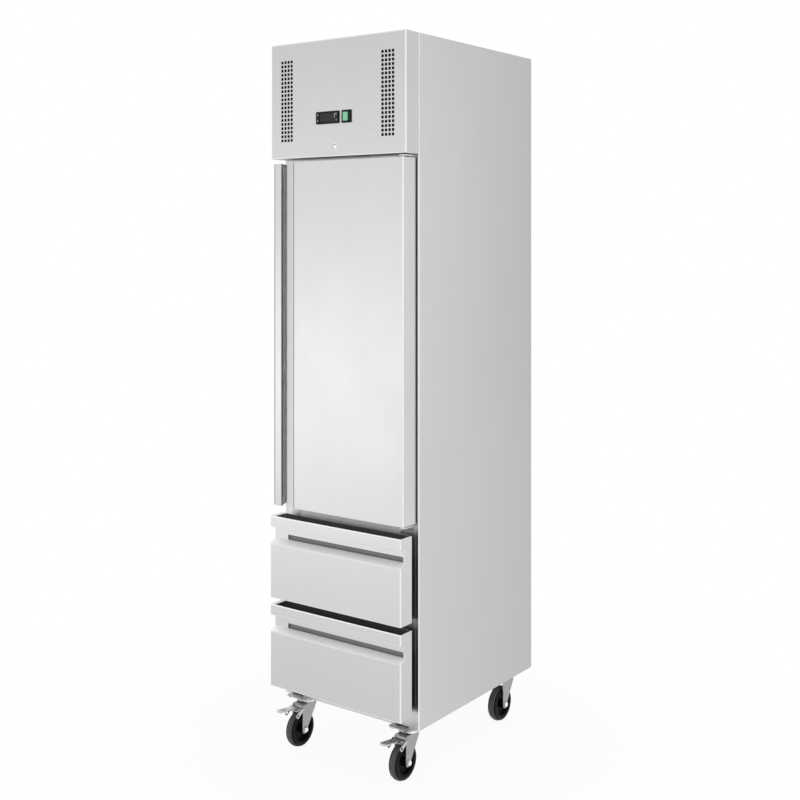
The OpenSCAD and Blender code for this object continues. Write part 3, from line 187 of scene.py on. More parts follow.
upGrain, sideGrain = (900, 900, 4), (4, 900, 900)
recipes = {
    brushedSteel: {
        # the fades in these rows are painted light and shade: header and door lighter low down, drawers darker low
        # down, side panels darker towards the back and lighter low down
        "headerSteel": (0.588, (4, 4, 900), 0, [("Z", 1.68, 1.95, 1.045, 1)]),
        # painted shade: a darker copy of the header steel for the header's right side face
        "cheekSteel": (0.565, (4, 4, 900)),
        "doorSteel": (0.612, upGrain, 0, [("Z", 0.69, 1.05, 1.08, 1)]),
        "drawerSteel": (0.65, sideGrain, 0, [("Z", 0.2, 0.65, 0.92, 1.05)]),
        "panelSteel": (0.55, upGrain, 0, [("Y", -0.25, 0.336, 1.085, 0.915), ("Z", 0.7, 1.1, 1.045, 1)]),
        # painted highlight: a near white steel for the bends, so they show as bright lines
        "bendSteel": (0.92, (300, 300, 40), 0.05),
        # painted light: a near white steel for the faces in the handle pocket, which lie in shade
        "pocketSteel": (0.95, upGrain, 0.25),
        "handleSteel": (0.586, upGrain, -0.04),
        # painted shade: a dark steel for the narrow front facet of the handle
        "facetSteel": (0.38, upGrain, -0.04),
        # painted light: a near white steel for the drawer slopes and the frame's middle rail, which lie in shade
        "slopeSteel": (0.97, sideGrain, 0.3),
        "linerSteel": (0.56, (5, 900, 900), 0.04),
    },
    plainMetal: {
        "zinc": (0.55, 0.26, 0.08, 80, (1, 1, 1.01)),
        "forkZinc": (0.36, 0.24, 0.16, 70),
        # painted reflection: a dark zinc for the right pedal's top
        "pedalZinc": (0.17, 0.3, 0.16, 70),
        # painted highlight: a bright zinc for the axle boss and nut
        "nutZinc": (0.86, 0.2, 0.06, 90),
        "plateZinc": (0.8, 0.55, 0.06, 90),
        "chrome": (0.92, 0.16, 0.03, 120),
        "fins": (0.62, 0.32, 0.05, 200),
        "copper": (0.8, 0.28, 0.12, 50, (1, 0.56, 0.4)),
    },
    galvanised: {"galvanised": (0.56,)},
    plastic: {
        "foam": ((0.78, 0.66, 0.36), 0.85, 300, 0.2, 0.4),
        "coatedWire": ((0.72, 0.72, 0.71), 0.38, 700),
        "whitePlastic": ((0.74, 0.74, 0.73), 0.42, 800, 0.4),
        "blackPlastic": ((0.009, 0.009, 0.01), 0.42, 900, 0.16),
        "displayGlass": ((0.016, 0.017, 0.019), 0.14, 50, 0.3, 0),
        # painted shade: the grey of the sheet behind each finger slot
        "slotGrey": (0.25, 0.5, 900, 0.3),
        # painted shade: the dark grey of the sheet in each drawer's trough
        "channelGrey": (0.11, 0.5, 900, 0.3),
        "buttonGrey": ((0.03, 0.03, 0.032), 0.5, 900, 0.3),
        "markGrey": ((0.42, 0.43, 0.44), 0.5, 900, 0.3),
        # painted shade and painted light: a dark green for the rocker's shaded side, a light green for its lit half
        "rockerDark": ((0.007, 0.046, 0.018), 0.42, 700, 0.12, 0.04),
        "rockerLens": ((0.31, 0.73, 0.47), 0.3, 700, 0.4, 0.04, 0.2),
        "filterMesh": ((0.01, 0.01, 0.011), 0.8, 1500, 0.1, 0.5),
        "enamel": ((0.012, 0.012, 0.013), 0.28, 260, 0.5, 0.12, 0.3),
        "sealGrey": ((0.12, 0.12, 0.125), 0.6, 500, 0.3, 0.15),
        "sealBlack": (0.012, 0.62, 500, 0.25, 0.15),
        # painted light: the tyre's tread band is painted lighter for the light it picks up
        "tread": (0.075, 0.55, 260, 0.35, 0.3),
        "tyre": (0.006, 0.42, 320, 0.12, 0.2),
        "hub": (0.004, 0.5, 600, 0.08, 0.1),
    },
}
finishes = {name: make(name, *values) for make, group in recipes.items() for name, values in group.items()}
print("finishes:", len(finishes))


# Shapes

def filleted(corners, steps):  # corners as (u, v) or (u, v, radius)
    outline, count = [], len(corners)
    for i, (u, v, *radius) in enumerate(corners):
        here = Vector((u, v))
        if not any(radius):
            outline.append(here)
            continue
        before, after = ((Vector(corners[k % count][:2]) - here).normalized() for k in (i - 1, i + 1))
        half = before.angle(after) / 2
        middle = here + (before + after).normalized() * (radius[0] / math.sin(half))
        start, end = (here + side * (radius[0] / math.tan(half)) - middle for side in (before, after))
        sweep = start.angle_signed(end)
        outline += [middle + Matrix.Rotation(-sweep * k / steps, 2) @ start for k in range(steps + 1)]
    return outline


def roundedRect(width, height, radius, middle=(0, 0)):
    w, h = width / 2, height / 2
    return [(middle[0] + u, middle[1] + v, radius) for u, v in ((-w, -h), (w, -h), (w, h), (-w, h))]


def arc(radius, degrees, middle=(0, 0)):
    turns = [math.radians(a) for a in degrees]
    return [(middle[0] + radius * math.cos(a), middle[1] + radius * math.sin(a)) for a in turns]


def circle(radius, middle=(0, 0), steps=48):
    return arc(radius, [360 * k / steps for k in range(steps)], middle)


def at(**planes):  # picks the edges that lie in all these planes, each one level or a choice
    choices = list(itertools.product(*(v if isinstance(v, tuple) else (v,) for v in planes.values())))

    def test(*ends):
        spots = [[getattr(v, key) for key in planes] for v in ends]
        return any(all(abs(a - b) < 0.01 for spot in spots for a, b in zip(spot, values)) for values in choices)
    return test


def anyOf(*tests):
    return lambda *ends: any(test(*ends) for test in tests)


def inSpace(u, v, depth, axis):  # a drawn spot, at a distance along the axis
    return Vector({"x": (depth, u, v), "y": (u, depth, v), "z": (u, v, depth)}[axis])


def linked(name, data):  # a new object in the scene
    made = bpy.data.objects.new(name, data)
    bpy.context.scene.collection.objects.link(made)
    return made


class Shape:  # a mesh in millimetres, in the part's frame
    def __init__(self):
        self.bm = bmesh.new()

    def skin(self, rings, closed, merge=False):  # a surface over rings of points, capped if it is open
        rings = [[self.bm.verts.new(spot) for spot in ring] for ring in rings]
        faces = [] if closed else [self.bm.faces.new(rings[0]), self.bm.faces.new(rings[-1])]
        for i in range(0 if closed else 1, len(rings)):
            first, last = rings[i - 1], rings[i]
            faces += [self.bm.faces.new((first[k - 1], first[k], last[k], last[k - 1])) for k in range(len(first))]
        if merge:
            bmesh.ops.remove_doubles(self.bm, verts=[v for ring in rings for v in ring], dist=0.0005)
        bmesh.ops.recalc_face_normals(self.bm, faces=[f for f in faces if f.is_valid])
        return self

    def prism(self, corners, axis, low, high, steps=5):  # runs along the axis, with these steps in a corner
        outline = filleted(corners, steps)
        return self.skin([[inSpace(u, v, w, axis) for u, v in outline] for w in (low, high)], False)

    def block(self, low, high):
        (x0, y0, z0), (x1, y1, z1) = low, high
        return self.prism([(x0, y0), (x1, y0), (x1, y1), (x0, y1)], "z", z0, z1)

    def slab(self, size, radius, spot, front, back, steps=5):  # a rounded plate that faces forward
        return self.prism(roundedRect(*size, radius, spot), "y", front, back, steps)

    def lathe(self, profile, axis, steps=48, middle=(0, 0, 0)):  # profile of (radius, distance along the axis)
        turns = circle(1, steps=steps)
        return self.skin([[inSpace(r * u, r * v, h, axis) + Vector(middle) for r, h in profile] for u, v in turns],
                         True, True)

    def rod(self, radius, low, high, axis, steps=24, middle=(0, 0, 0)):
        return self.lathe([(0, low), (radius, low), (radius, high), (0, high)], axis, steps, middle)

    def tube(self, points, radius, steps, closed=False):
        points = [Vector(p) for p in points]
        count, rings, side = len(points), [], None
        for i, here in enumerate(points):
            ahead, behind = (points[k % count] if closed or 0 <= k < count else here for k in (i + 1, i - 1))
            along = (ahead - behind).normalized()
            side = along.orthogonal().normalized() if side is None else (side - along * side.dot(along)).normalized()
            rings.append([here + side * u + along.cross(side) * v for u, v in circle(radius, steps=steps)])
        return self.skin(rings, closed)

    def round(self, radius, test, segments=4):
        edges = [e for e in self.bm.edges if e.is_manifold and e.calc_face_angle(0) > 0.2
                 and test(*(v.co for v in e.verts))]
        bmesh.ops.bevel(self.bm, geom=edges, offset=radius, segments=segments, profile=0.5,
                        affect="EDGES", clamp_overlap=True)
        return self

    def drop(self, test):  # takes out the faces whose corners all pass
        gone = [f for f in self.bm.faces if test(*(v.co for v in f.verts))]
        bmesh.ops.delete(self.bm, geom=gone, context="FACES")
        return self

    def move(self, place, turn=None):
        spin = Matrix.Rotation(math.radians(turn[0]), 4, turn[1]) if turn else Matrix()
        self.bm.transform(Matrix.Translation(place) @ spin)
        return self

    def mirror(self):
        self.bm.transform(Matrix.Scale(-1, 4, (1, 0, 0)))
        bmesh.ops.reverse_faces(self.bm, faces=self.bm.faces)
        return self

    def join(self, other):
        mesh = bpy.data.meshes.new("joined")
        other.bm.to_mesh(mesh)
        self.bm.from_mesh(mesh)
        bpy.data.meshes.remove(mesh)
        return self

    def loose(self, name):
        mesh = bpy.data.meshes.new(name)
        self.bm.to_mesh(mesh)
        return linked(name, mesh)

    def settle(self, piece):  # takes the modified mesh back and removes the working object
        layer = bpy.context.evaluated_depsgraph_get()
        mesh = bpy.data.meshes.new_from_object(piece.evaluated_get(layer))
        self.bm.clear()
        self.bm.from_mesh(mesh)
        bpy.data.objects.remove(piece)
        bpy.data.meshes.remove(mesh)
        return self

    def cut(self, tool, operation="DIFFERENCE"):
        piece, knife = self.loose("piece"), tool.loose("knife")
        change = piece.modifiers.new("cut", "BOOLEAN")
        change.operation, change.solver, change.object = operation, "EXACT", knife
        self.settle(piece)
        bpy.data.objects.remove(knife)
        return self

    def sheet(self, thickness):  # gives the surface that thickness inwards
        piece = self.loose("piece")
        change = piece.modifiers.new("sheet", "SOLIDIFY")
        change.thickness, change.offset, change.use_even_offset = thickness, -1, True
        return self.settle(piece)

    def piece(self, name, finish, body, slot, *replaced, sharp=38, weighted=True, paint=()):
        self.bm.transform(Matrix.Scale(mm, 4))
        mesh = bpy.data.meshes.new(name)
        self.bm.to_mesh(mesh)
        self.bm.free()
        mesh.materials.append(finishes[finish])
        for i, (other, test) in enumerate(paint):  # other finishes for the faces that pass their tests
            mesh.materials.append(finishes[other])
            for face in mesh.polygons:
                if test(face.center / mm, face.normal):
                    face.material_index = i + 1
        mesh.shade_smooth()
        mesh.set_sharp_from_angle(angle=math.radians(sharp))
        made = linked(name, mesh)
        if weighted:
            change = made.modifiers.new("flat faces", "WEIGHTED_NORMAL")
            change.keep_sharp = True
        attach(made, body)
        if replaced:
            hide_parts(*replaced)
        return made


def upright(spot, normal):  # the faces of a bend that runs up the object
    return 0.1 < abs(normal.y) < 0.99 and abs(normal.z) < 0.3


# Cabinet

cabinet = {"half": 235, "front": -250, "back": 336, "low": 142, "top": 1982, "fold": 12, "bend": 2.4,
           "sheet": 1}


def sidePanel():
    c = cabinet
    x, y, z = c["half"], c["front"], c["top"]
    shape = Shape().block((x - c["fold"], y, c["low"]), (x, c["back"], z))
    shape.round(c["bend"], anyOf(at(x=x, y=y), at(x=x, z=z), at(y=y, z=z)))
    shape.drop(anyOf(at(x=x - c["fold"]), at(y=c["back"]), at(z=c["low"])))
    return shape.sheet(c["sheet"])


# the upright bends of the side panels are painted bright, a painted highlight
for name, panel in (("Right", sidePanel()), ("Left", sidePanel().mirror())):
    panel.piece("sidePanel" + name, "panelSteel", "cabinet", "panel_steel", "side_panel_" + name.lower(),
                paint=[("bendSteel", upright)])
print("side panels done")

header = {"low": 1661, "front": -308, "bend": 2.6, "legCut": -255, "reach": 2, "lock": (-3, 1687, 8),
          "controller": ((-28, 1768), (71, 28.5)), "switch": ((38, 1768), (28.4, 30)),
          "tongue": ((-11, -288), (42, -281))}
vents = {"size": 8, "corner": 1.4, "pitch": 11.5, "cols": 4, "rows": 20, "outer": 193.5, "middle": 1821.5}


def headerPanel():
    h, v, x, back, top = header, vents, cabinet["half"], cabinet["front"], cabinet["top"]
    front, low, reach, inner = h["front"], h["low"], h["reach"], x - cabinet["sheet"]
    start, end = front - reach, front + reach + cabinet["sheet"]  # the cuts go through the sheet
    shape = Shape().block((-x, front, low), (x, back, top))
    shape.round(h["bend"], anyOf(at(x=(-x, x), y=front), at(y=front, z=(low, top)), at(x=(-x, x), z=(low, top))))
    shape.drop(at(y=back)).sheet(cabinet["sheet"])
    tool = Shape().block((-inner, h["legCut"], low - reach), (inner, back + reach, low + reach))
    for side, col, row in itertools.product((-1, 1), range(v["cols"]), range(v["rows"])):
        spot = (side * (v["outer"] - col * v["pitch"]), v["middle"] + (row - (v["rows"] - 1) / 2) * v["pitch"])
        tool.slab((v["size"], v["size"]), v["corner"], spot, start, end, 3)
    for spot, size in (h["controller"], h["switch"]):
        tool.slab(size, 1, spot, start, end, 3)
    *spot, radius = h["lock"]
    tool.prism(circle(radius, spot), "y", start, end)
    (x0, y0), (x1, y1) = h["tongue"]
    tool.block((x0, y0, low - reach), (x1, y1, low + reach + cabinet["sheet"]))
    return shape.cut(tool)


def onCheek(spot, normal):
    return normal.x > 0.99


# the header's right side face is painted darker, painted shade
# the header's upright bends are painted bright, a painted highlight
headerPanel().piece("headerPanel", "headerSteel", "cabinet", "panel_steel", "header_panel",
                    paint=[("bendSteel", upright), ("cheekSteel", onCheek)])
print("header done")

frontFrame = {"inner": 175, "outer": 223, "seam": 0.1, "front": -250, "back": -249, "railBack": -208, "low": 142,
              "top": 1690, "strips": ((142, 216), (1616, 1690)), "rails": ((378, 464), (628, 724)),
              "slits": ((-207, -167), (159, 202)), "slitLevels": (142.7, 146.5), "plug": 0.5, "bend": 0.6}


def frameStrips():
    f, shape = frontFrame, Shape()
    inner, front, back, (low, high) = f["inner"] - f["seam"], f["front"], f["back"], f["slitLevels"]
    for x0, x1 in ((-f["outer"], -f["inner"]), (f["inner"], f["outer"])):
        strip = Shape().block((x0, front, f["low"]), (x1, back, f["top"]))
        shape.join(strip.round(f["bend"], at(x=(x0, x1), y=front), 3))
    for rear, levels in ((back, f["strips"]), (f["railBack"], f["rails"])):
        for z0, z1 in levels:
            strip = Shape().block((-inner, front, z0), (inner, rear, z1))
            shape.join(strip.round(f["bend"], at(z=(z0, z1), y=front), 3))
    for x0, x1 in f["slits"]:  # the open seams above the front castors
        shape.cut(Shape().block((x0, front - 1, low), (x1, back + 0.2, high)))
    return shape


# the front of the middle rail, which is painted near white, painted light
def onRail(spot, normal):
    low, high = frontFrame["rails"][1]
    return abs(spot.x) < frontFrame["inner"] and low < spot.z < high and spot.y < frontFrame["front"] + 1


def seamShadePlug(x0, x1):  # a black strip behind an open seam, painted shade
    f, seam = frontFrame, frontFrame["seam"]
    (z0, z1), front, back = f["slitLevels"], f["back"] - f["plug"], f["back"] - seam / 2
    return Shape().block((x0 + seam, front, z0 + seam), (x1 - seam, back, z1 - seam)).round(seam, at(y=front), 2)


for name, (x0, x1) in zip(("Left", "Right"), frontFrame["slits"]):
    seamShadePlug(x0, x1).piece("seamShadePlug" + name, "blackPlastic", "cabinet", "black_plastic")
frameStrips().piece("frameStrips", "drawerSteel", "cabinet", "front_steel", "front_frame",
                    paint=[("slopeSteel", onRail)])
print("frame done")

ventFilter = {"middle": 176.2, "size": (46, 232), "front": -306.4, "thick": 2.2, "rim": 3, "inset": 1, "matFront": 0.6,
              "matBack": 0.4, "corner": 4}


def ventDustFilter(side):
    v = ventFilter
    spot, inset, rim, corner = (side * v["middle"], vents["middle"]), v["inset"], v["rim"], v["corner"]
    w, h, front, back = *v["size"], v["front"], v["front"] + v["thick"]
    hole = Shape().slab((w - 2 * rim, h - 2 * rim), corner / 2, spot, front - 1, back + 1)
    shape = Shape().slab((w, h), corner, spot, front, back).cut(hole)
    return shape.slab((w - 2 * inset, h - 2 * inset), corner - inset, spot, front + v["matFront"], back - v["matBack"])


for name, side in (("Left", -1), ("Right", 1)):
    ventDustFilter(side).piece("ventFilter" + name, "filterMesh", "cabinet", "black_plastic")
print("vent filters done")

# Door

door = {"half": 227.5, "face": -311, "depth": 57, "low": 688, "top": 1652, "pocket": 45, "strip": 32,
        "stripDepth": (8.8, 4.8), "stripSlope": 3, "stripCorner": 1.6, "groove": (1.3, 1.8, 0.8), "pocketBack": 10,
        "pocketRadius": 18, "bend": 3.2, "bendReach": 7.5, "corner": 0.8, "edge": 1.1, "backCut": 1.5, "reach": 2,
        "hinge": (212.5, -292), "bore": 9, "boreLength": 18, "slot": ((-11, -288), (38, -281)), "slotLow": 1640}


def doorSkin():
    d = door
    x, face, depth, low, top, reach = d["half"], d["face"], d["depth"], d["low"], d["top"], d["reach"]
    pocketX, stripX, pocketY = d["pocket"] - x, d["pocket"] + d["strip"] - x, depth - d["pocketBack"]
    inner, outer = d["stripDepth"]
    corners = [(stripX, 0, d["stripCorner"]), (x, 0, d["bend"]), (x, depth, d["corner"]), (-x, depth, d["corner"]),
               (-x, pocketY, 1), (pocketX, pocketY, d["pocketRadius"]), (pocketX, inner, d["stripCorner"]),
               (stripX - d["stripSlope"], outer, d["stripCorner"])]
    shape = Shape().prism([(u, face + v, r) for u, v, r in corners], "z", low, top, 6)
    shape.round(d["edge"], at(z=(low, top)), 2)
    tool = Shape().block((1 - x, face + depth - d["backCut"], low + 1), (x - 1, face + depth + reach, top - 1))
    for start in (low - reach, top - d["boreLength"]):
        tool.prism(circle(d["bore"], d["hinge"]), "z", start, start + d["boreLength"] + reach)
    (x0, y0), (x1, y1) = d["slot"]
    tool.block((x0, y0, d["slotLow"]), (x1, y1, top + reach))
    gap, width, deep = d["groove"]
    tool.block((stripX + gap, face - 1, low - 1), (stripX + gap + width, face + deep, top + 1))
    return shape.cut(tool)


# the faces in the handle pocket, which are painted near white, painted light
def inPocket(spot, normal):
    return spot.x < door["pocket"] + 2 - door["half"] and spot.y > door["face"] + 12


# the groove beside the strip, which is painted black, painted shade along the crease
def inGroove(spot, normal):
    gap, width = door["groove"][:2]
    past = spot.x - door["pocket"] - door["strip"] + door["half"]
    return 0 < past < gap + width + 0.1 and 0.1 < spot.y - door["face"] < 1 and normal.y < 0.5


def onRightBend(spot, normal):
    return upright(spot, normal) and spot.x > door["half"] - door["bendReach"] and normal.y < 0


# the door's right upright bend is painted bright, a painted highlight
doorSkin().piece("doorSkin", "doorSteel", "door", "front_steel", "door_skin", sharp=30,
                 paint=[("bendSteel", onRightBend), ("pocketSteel", inPocket), ("sealBlack", inGroove)])

handle = {"width": 32, "thick": 3, "lip": 9, "bevel": 5.5, "foot": 18, "depth": 47, "low": 689, "top": 1648,
          "cap": 1.6, "seat": 0.5, "facet": (4.2, 0.9)}


def doorHandle():
    h, x, y = handle, -door["half"], door["face"]
    w, t, b, (facet, sunk) = h["width"], h["thick"], h["bevel"], h["facet"]
    corners = [(0, h["depth"], 0.5), (0, 2 * b, 5), (b - sunk, sunk, 3), (b + facet, 0, 2), (w, 0, 0.8),
               (w, h["lip"], 1), (w - t, h["lip"], 1), (w - t, t, 0.8), (b + t / 2, t, 3), (t, 2 * b + t / 2, 3),
               (t, h["depth"] - t, 1), (h["foot"], h["depth"] - t), (h["foot"], h["depth"])]
    shape = Shape().prism([(x + u, y + v, *r) for u, v, *r in corners], "z", h["low"], h["top"], 4)
    shape.round(0.5, at(z=(h["low"], h["top"])), 2)
    near, far, deep = t - h["seat"], w - t + h["seat"], h["depth"] - t + h["seat"]
    end = [(near, 2 * b), (b + 1, near), (far, near), (far, h["lip"] - 1), (h["foot"] - 1, deep), (near, deep)]
    for z in (h["low"] + 1, h["top"] - 1 - h["cap"]):  # the end caps
        shape.prism([(x + u, y + v) for u, v in end], "z", z, z + h["cap"])
    return shape


# the narrow front facet of the handle, which is painted dark, painted shade
def onFacet(spot, normal):
    return normal.x < -0.1 and normal.y < -0.3 and spot.y < door["face"] + 2


doorHandle().piece("doorHandle", "handleSteel", "door", "front_steel", "door_handle", sharp=30,
                   paint=[("pocketSteel", inPocket), ("facetSteel", onFacet)])

seal = {"inset": 24, "end": 12, "width": 18}


def doorSeal():
    back, front = door["face"] + door["depth"], cabinet["front"] - 0.4
    mid = (back + front) / 2
    w = seal["width"]
    profile = [(0.6, back + 0.05), (0, back + 0.5), (0, mid - 0.4), (0.9, mid), (0, mid + 0.4), (0, front - 0.5),
               (0.6, front), (5.6, front), (6.2, front - 0.6), (6.8, front), (11.2, front), (11.8, front - 0.6),
               (12.4, front), (w - 0.6, front), (w, front - 0.5), (w, mid), (w - 1.5, mid - 0.3),
               (w - 0.6, back + 0.05)]
    x, low, high = door["half"] - seal["inset"], door["low"] + seal["end"], door["top"] - seal["end"]
    corners = ((-1, 1), (1, 1), (1, -1), (-1, -1))
    return Shape().skin([[(u * (x - inset), y, low + inset if v > 0 else high - inset) for u, v in corners]
                         for inset, y in profile], True)


doorSeal().piece("doorSeal", "sealGrey", "door", "seal_grey", "door_seal")
print("door done")

# Drawers

drawer = {"half": 227.5, "face": -321, "depth": 49.5, "height": 230, "lipLow": 198.5, "recess": 20,
          "slotLow": 165, "slotTop": 179.5, "slope": 153.5, "bend": 2.6, "channelLow": 205, "lip": 2.5, "end": 3,
          "slotEdges": (-178, 221.5), "pocketBack": 38, "pocketTop": 194, "cutFronts": (17, 22),
          "leftEnd": 17, "levels": (430, 182), "slopeEdge": 1.5, "bendReach": 3}


def drawerFront(low):
    d = drawer
    x, face, back = d["half"], d["face"], d["face"] + d["depth"]
    corners = [(0, 0), (d["depth"], 0), (d["depth"], d["height"]), (0, d["height"]), (0, d["lipLow"]),
               (d["recess"], d["lipLow"]), (d["recess"], d["slotLow"]), (0, d["slope"])]
    shape = Shape().prism([(face + u, low + v) for u, v in corners], "x", -x, x)
    shape.round(d["bend"], anyOf(at(y=face), lambda *ends: all(v.y < face + d["recess"] + 1 for v in ends)
                                 and at(x=(-x, x))(*ends), at(x=(-x, x), z=(low, low + d["height"]))), 4)
    inner, (slotX0, slotX1), slotZ = x - d["end"], d["slotEdges"], low + d["slotLow"] + 0.1
    tool = Shape().block((d["leftEnd"] - x, face + d["lip"], low + d["channelLow"]),
                         (inner, back - d["lip"], low + d["height"] + 2))
    tool.block((1 - x, back - 0.5, low + 1), (x - 1, back + 2, low + d["channelLow"] - 1))
    shape.cut(tool)
    for front, top in zip(d["cutFronts"], (d["slotTop"], d["pocketTop"])):  # the slot, then the pocket behind it
        shape.cut(Shape().block((slotX0, face + front, slotZ), (slotX1, face + d["pocketBack"], low + top)))
    return shape


# the slope below the finger slot, which is painted near white, painted light
def onSlope(low):
    start, end = low + drawer["slope"] - drawer["slopeEdge"], low + drawer["slotLow"] + 1
    back = drawer["face"] + drawer["recess"] + 2
    return lambda spot, normal: start < spot.z < end and normal.z > 0.7 and spot.y < back


def onFrontBend(low):
    top, back = low + drawer["height"] - drawer["bendReach"], drawer["face"] + drawer["bendReach"]
    return lambda spot, normal: normal.y < 0 and spot.y < back and (
        upright(spot, normal) or spot.z > top and normal.z > 0.1)


channel = {"gap": 0.1, "thick": 0.6, "front": 226, "back": 229, "radius": 2, "end": 4}


def channelShadeLining(low):  # a dark grey sheet in the trough behind the lip, painted shade
    d, c = drawer, channel
    y0, y1 = d["face"] + d["lip"] + c["gap"], d["face"] + d["depth"] - d["lip"] - c["gap"]
    z, t, radius = low + d["channelLow"] + c["gap"], c["thick"], c["radius"]
    front, back = low + c["front"], low + c["back"]
    corners = [(y0, front), (y0, z, radius), (y1, z, radius), (y1, back), (y1 - t, back),
               (y1 - t, z + t, radius - t), (y0 + t, z + t, radius - t), (y0 + t, front)]
    return Shape().prism(corners, "x", d["leftEnd"] + c["end"] - d["half"], d["half"] - d["end"] - c["end"], 4)


backing = {"skin": 1.5, "roof": 2, "step": 24, "drop": 4, "inset": 20, "end": 10, "rear": -256, "bend": 2}


def drawerBacking(low):  # the filled panel that closes the front
    d, b = drawer, backing
    x, face, back, skin = d["half"], d["face"], d["face"] + d["depth"], b["skin"]
    roof, inset, end = d["slotLow"] - b["roof"], b["inset"], b["end"]
    core = [(skin, skin), (d["depth"], skin), (d["depth"], roof), (b["step"], roof), (skin, d["slope"] - b["drop"])]
    shape = Shape().prism([(face + u, low + v) for u, v in core], "x", skin - x, x - skin)
    panel = Shape().block((inset - x, back, low + end), (x - inset, b["rear"], low + d["height"] - end))
    return shape.join(panel.round(b["bend"], at(y=b["rear"]), 3))


insert = {"gap": 0.3, "front": 0.4, "edge": 1.4, "back": 9, "rise": 8, "thick": 1.5, "knee": (6, 3, 4)}


def slotShadeInsert(low):  # a grey sheet at the back of the finger slot, painted shade
    d, s = drawer, insert
    (x0, x1), gap, front, back = d["slotEdges"], s["gap"], s["front"], s["back"]
    y, z, top = d["face"] + d["recess"], low + d["slotLow"], low + d["slotTop"] + s["rise"]
    kneeY, kneeZ, radius = s["knee"]
    corners = [(y + front, z + gap), (y + back, z + gap), (y + back, top), (y + back - s["thick"], top),
               (y + kneeY, z + kneeZ, radius), (y + front, z + s["edge"])]
    return Shape().prism(corners, "x", x0 + gap, x1 - gap, 4)


for level, low in zip(("upper", "lower"), drawer["levels"]):
    body = level + "_drawer"
    # the drawer fronts' upright bends and lip tops are painted bright, a painted highlight
    drawerFront(low).piece(level + "DrawerFront", "drawerSteel", body, "front_steel", body + "_front",
                           paint=[("slopeSteel", onSlope(low)), ("bendSteel", onFrontBend(low))])
    drawerBacking(low).piece(level + "DrawerBacking", "blackPlastic", body, "black_plastic", body + "_backing")
    channelShadeLining(low).piece(level + "ChannelShadeLining", "channelGrey", body, "black_plastic")
    slotShadeInsert(low).piece(level + "SlotShadeInsert", "slotGrey", body, "black_plastic")
print("drawers done")

# Controls in the header

controls = {"bezel": (80, 34), "corner": 3, "bend": 1.2, "proud": 4, "window": (49, 24), "windowDepth": 1.6,
            "sunk": 0.35, "lens": 1.1, "lensPlay": 0.3, "button": (9.4, 11.4), "buttonAt": (33, 8), "buttonProud": 0.5,
            "buttonThick": 2.1, "buttonDepth": 2.7, "buttonCorner": 1.4, "play": 0.6, "depth": 56}
buttons = (("up", -1, 1), ("down", -1, -1), ("set", 1, 1), ("defrost", 1, -1))
controlsFront = header["front"] - controls["proud"]


def buttonSpot(sx, sz):
    (x, z), (dx, dz) = header["controller"][0], controls["buttonAt"]
    return x + sx * dx, z + sz * dz


def controllerCase():
    c, face, front, (spot, opening) = controls, header["front"], controlsFront, header["controller"]
    shape = Shape().slab(c["bezel"], c["corner"], spot, front, face - 0.05).round(c["bend"], at(y=front), 3)
    tool = Shape().slab(c["window"], 1, spot, front - 1, front + c["windowDepth"], 3)
    size, corner = [length + c["play"] for length in c["button"]], c["buttonCorner"] + 0.1
    for name, sx, sz in buttons:
        tool.slab(size, corner, buttonSpot(sx, sz), front - 1, front + c["buttonDepth"], 3)
    return shape.cut(tool).slab(opening, 0, spot, face - 0.5, face + c["depth"])


def displayLens():
    c, front = controls, controlsFront + controls["sunk"]
    size = [length - c["lensPlay"] for length in c["window"]]
    return Shape().slab(size, 1, header["controller"][0], front, front + c["lens"], 3).round(0.3, at(y=front), 2)


controllerCase().piece("controllerCase", "blackPlastic", "cabinet", "black_plastic", "controller_case")
displayLens().piece("displayLens", "displayGlass", "cabinet", "display", "display_lens")


def button(sx, sz):
    c, front = controls, controlsFront - controls["buttonProud"]
    shape = Shape().slab(c["button"], c["buttonCorner"], buttonSpot(sx, sz), front, front + c["buttonThick"], 4)
    return shape.round(0.5, at(y=front), 3)


for name, sx, sz in buttons:
    button(sx, sz).piece(name + "Button", "buttonGrey", "button_" + name, "button_grey", "button_" + name)

marks = {"proud": 0.62, "thick": 0.3, "arrow": (2.9, 1.8, 2.6, 0.5), "moon": (3.3, 1.9, range(60, 301, 12)),
         "dot": 1.9, "bow": (15.2, 12.9, range(152, 209, 4)), "bowPlace": (40, 4), "bowProud": 0.12}


def crescent(outer, inner, degrees):
    return arc(outer, degrees) + arc(inner, reversed(degrees))


def markPlate(outline, x, z, proud):
    front = controlsFront - proud
    return Shape().prism([(x + u, z + v, *r) for u, v, *r in outline], "y", front, front + marks["thick"], 3)


def mark(sx, sz):  # the raised mark on a button
    half, foot, tip, radius = marks["arrow"]
    if sx < 0:
        outline = [(-half, -foot * sz, radius), (half, -foot * sz, radius), (0, tip * sz, radius)]
    elif sz > 0:
        outline = crescent(*marks["moon"])
    else:
        outline = circle(marks["dot"], steps=20)
    return markPlate(outline, *buttonSpot(sx, sz), marks["proud"])


def displayArc():  # the light bow between the display and the right buttons
    (x, z), (dx, dz) = header["controller"][0], marks["bowPlace"]
    return markPlate(crescent(*marks["bow"]), x + dx, z + dz, marks["bowProud"])


for name, sx, sz in buttons:
    mark(sx, sz).piece(name + "Mark", "markGrey", "button_" + name, "button_grey", weighted=False)
displayArc().piece("displayArc", "markGrey", "cabinet", "button_grey", weighted=False)
print("controller done")

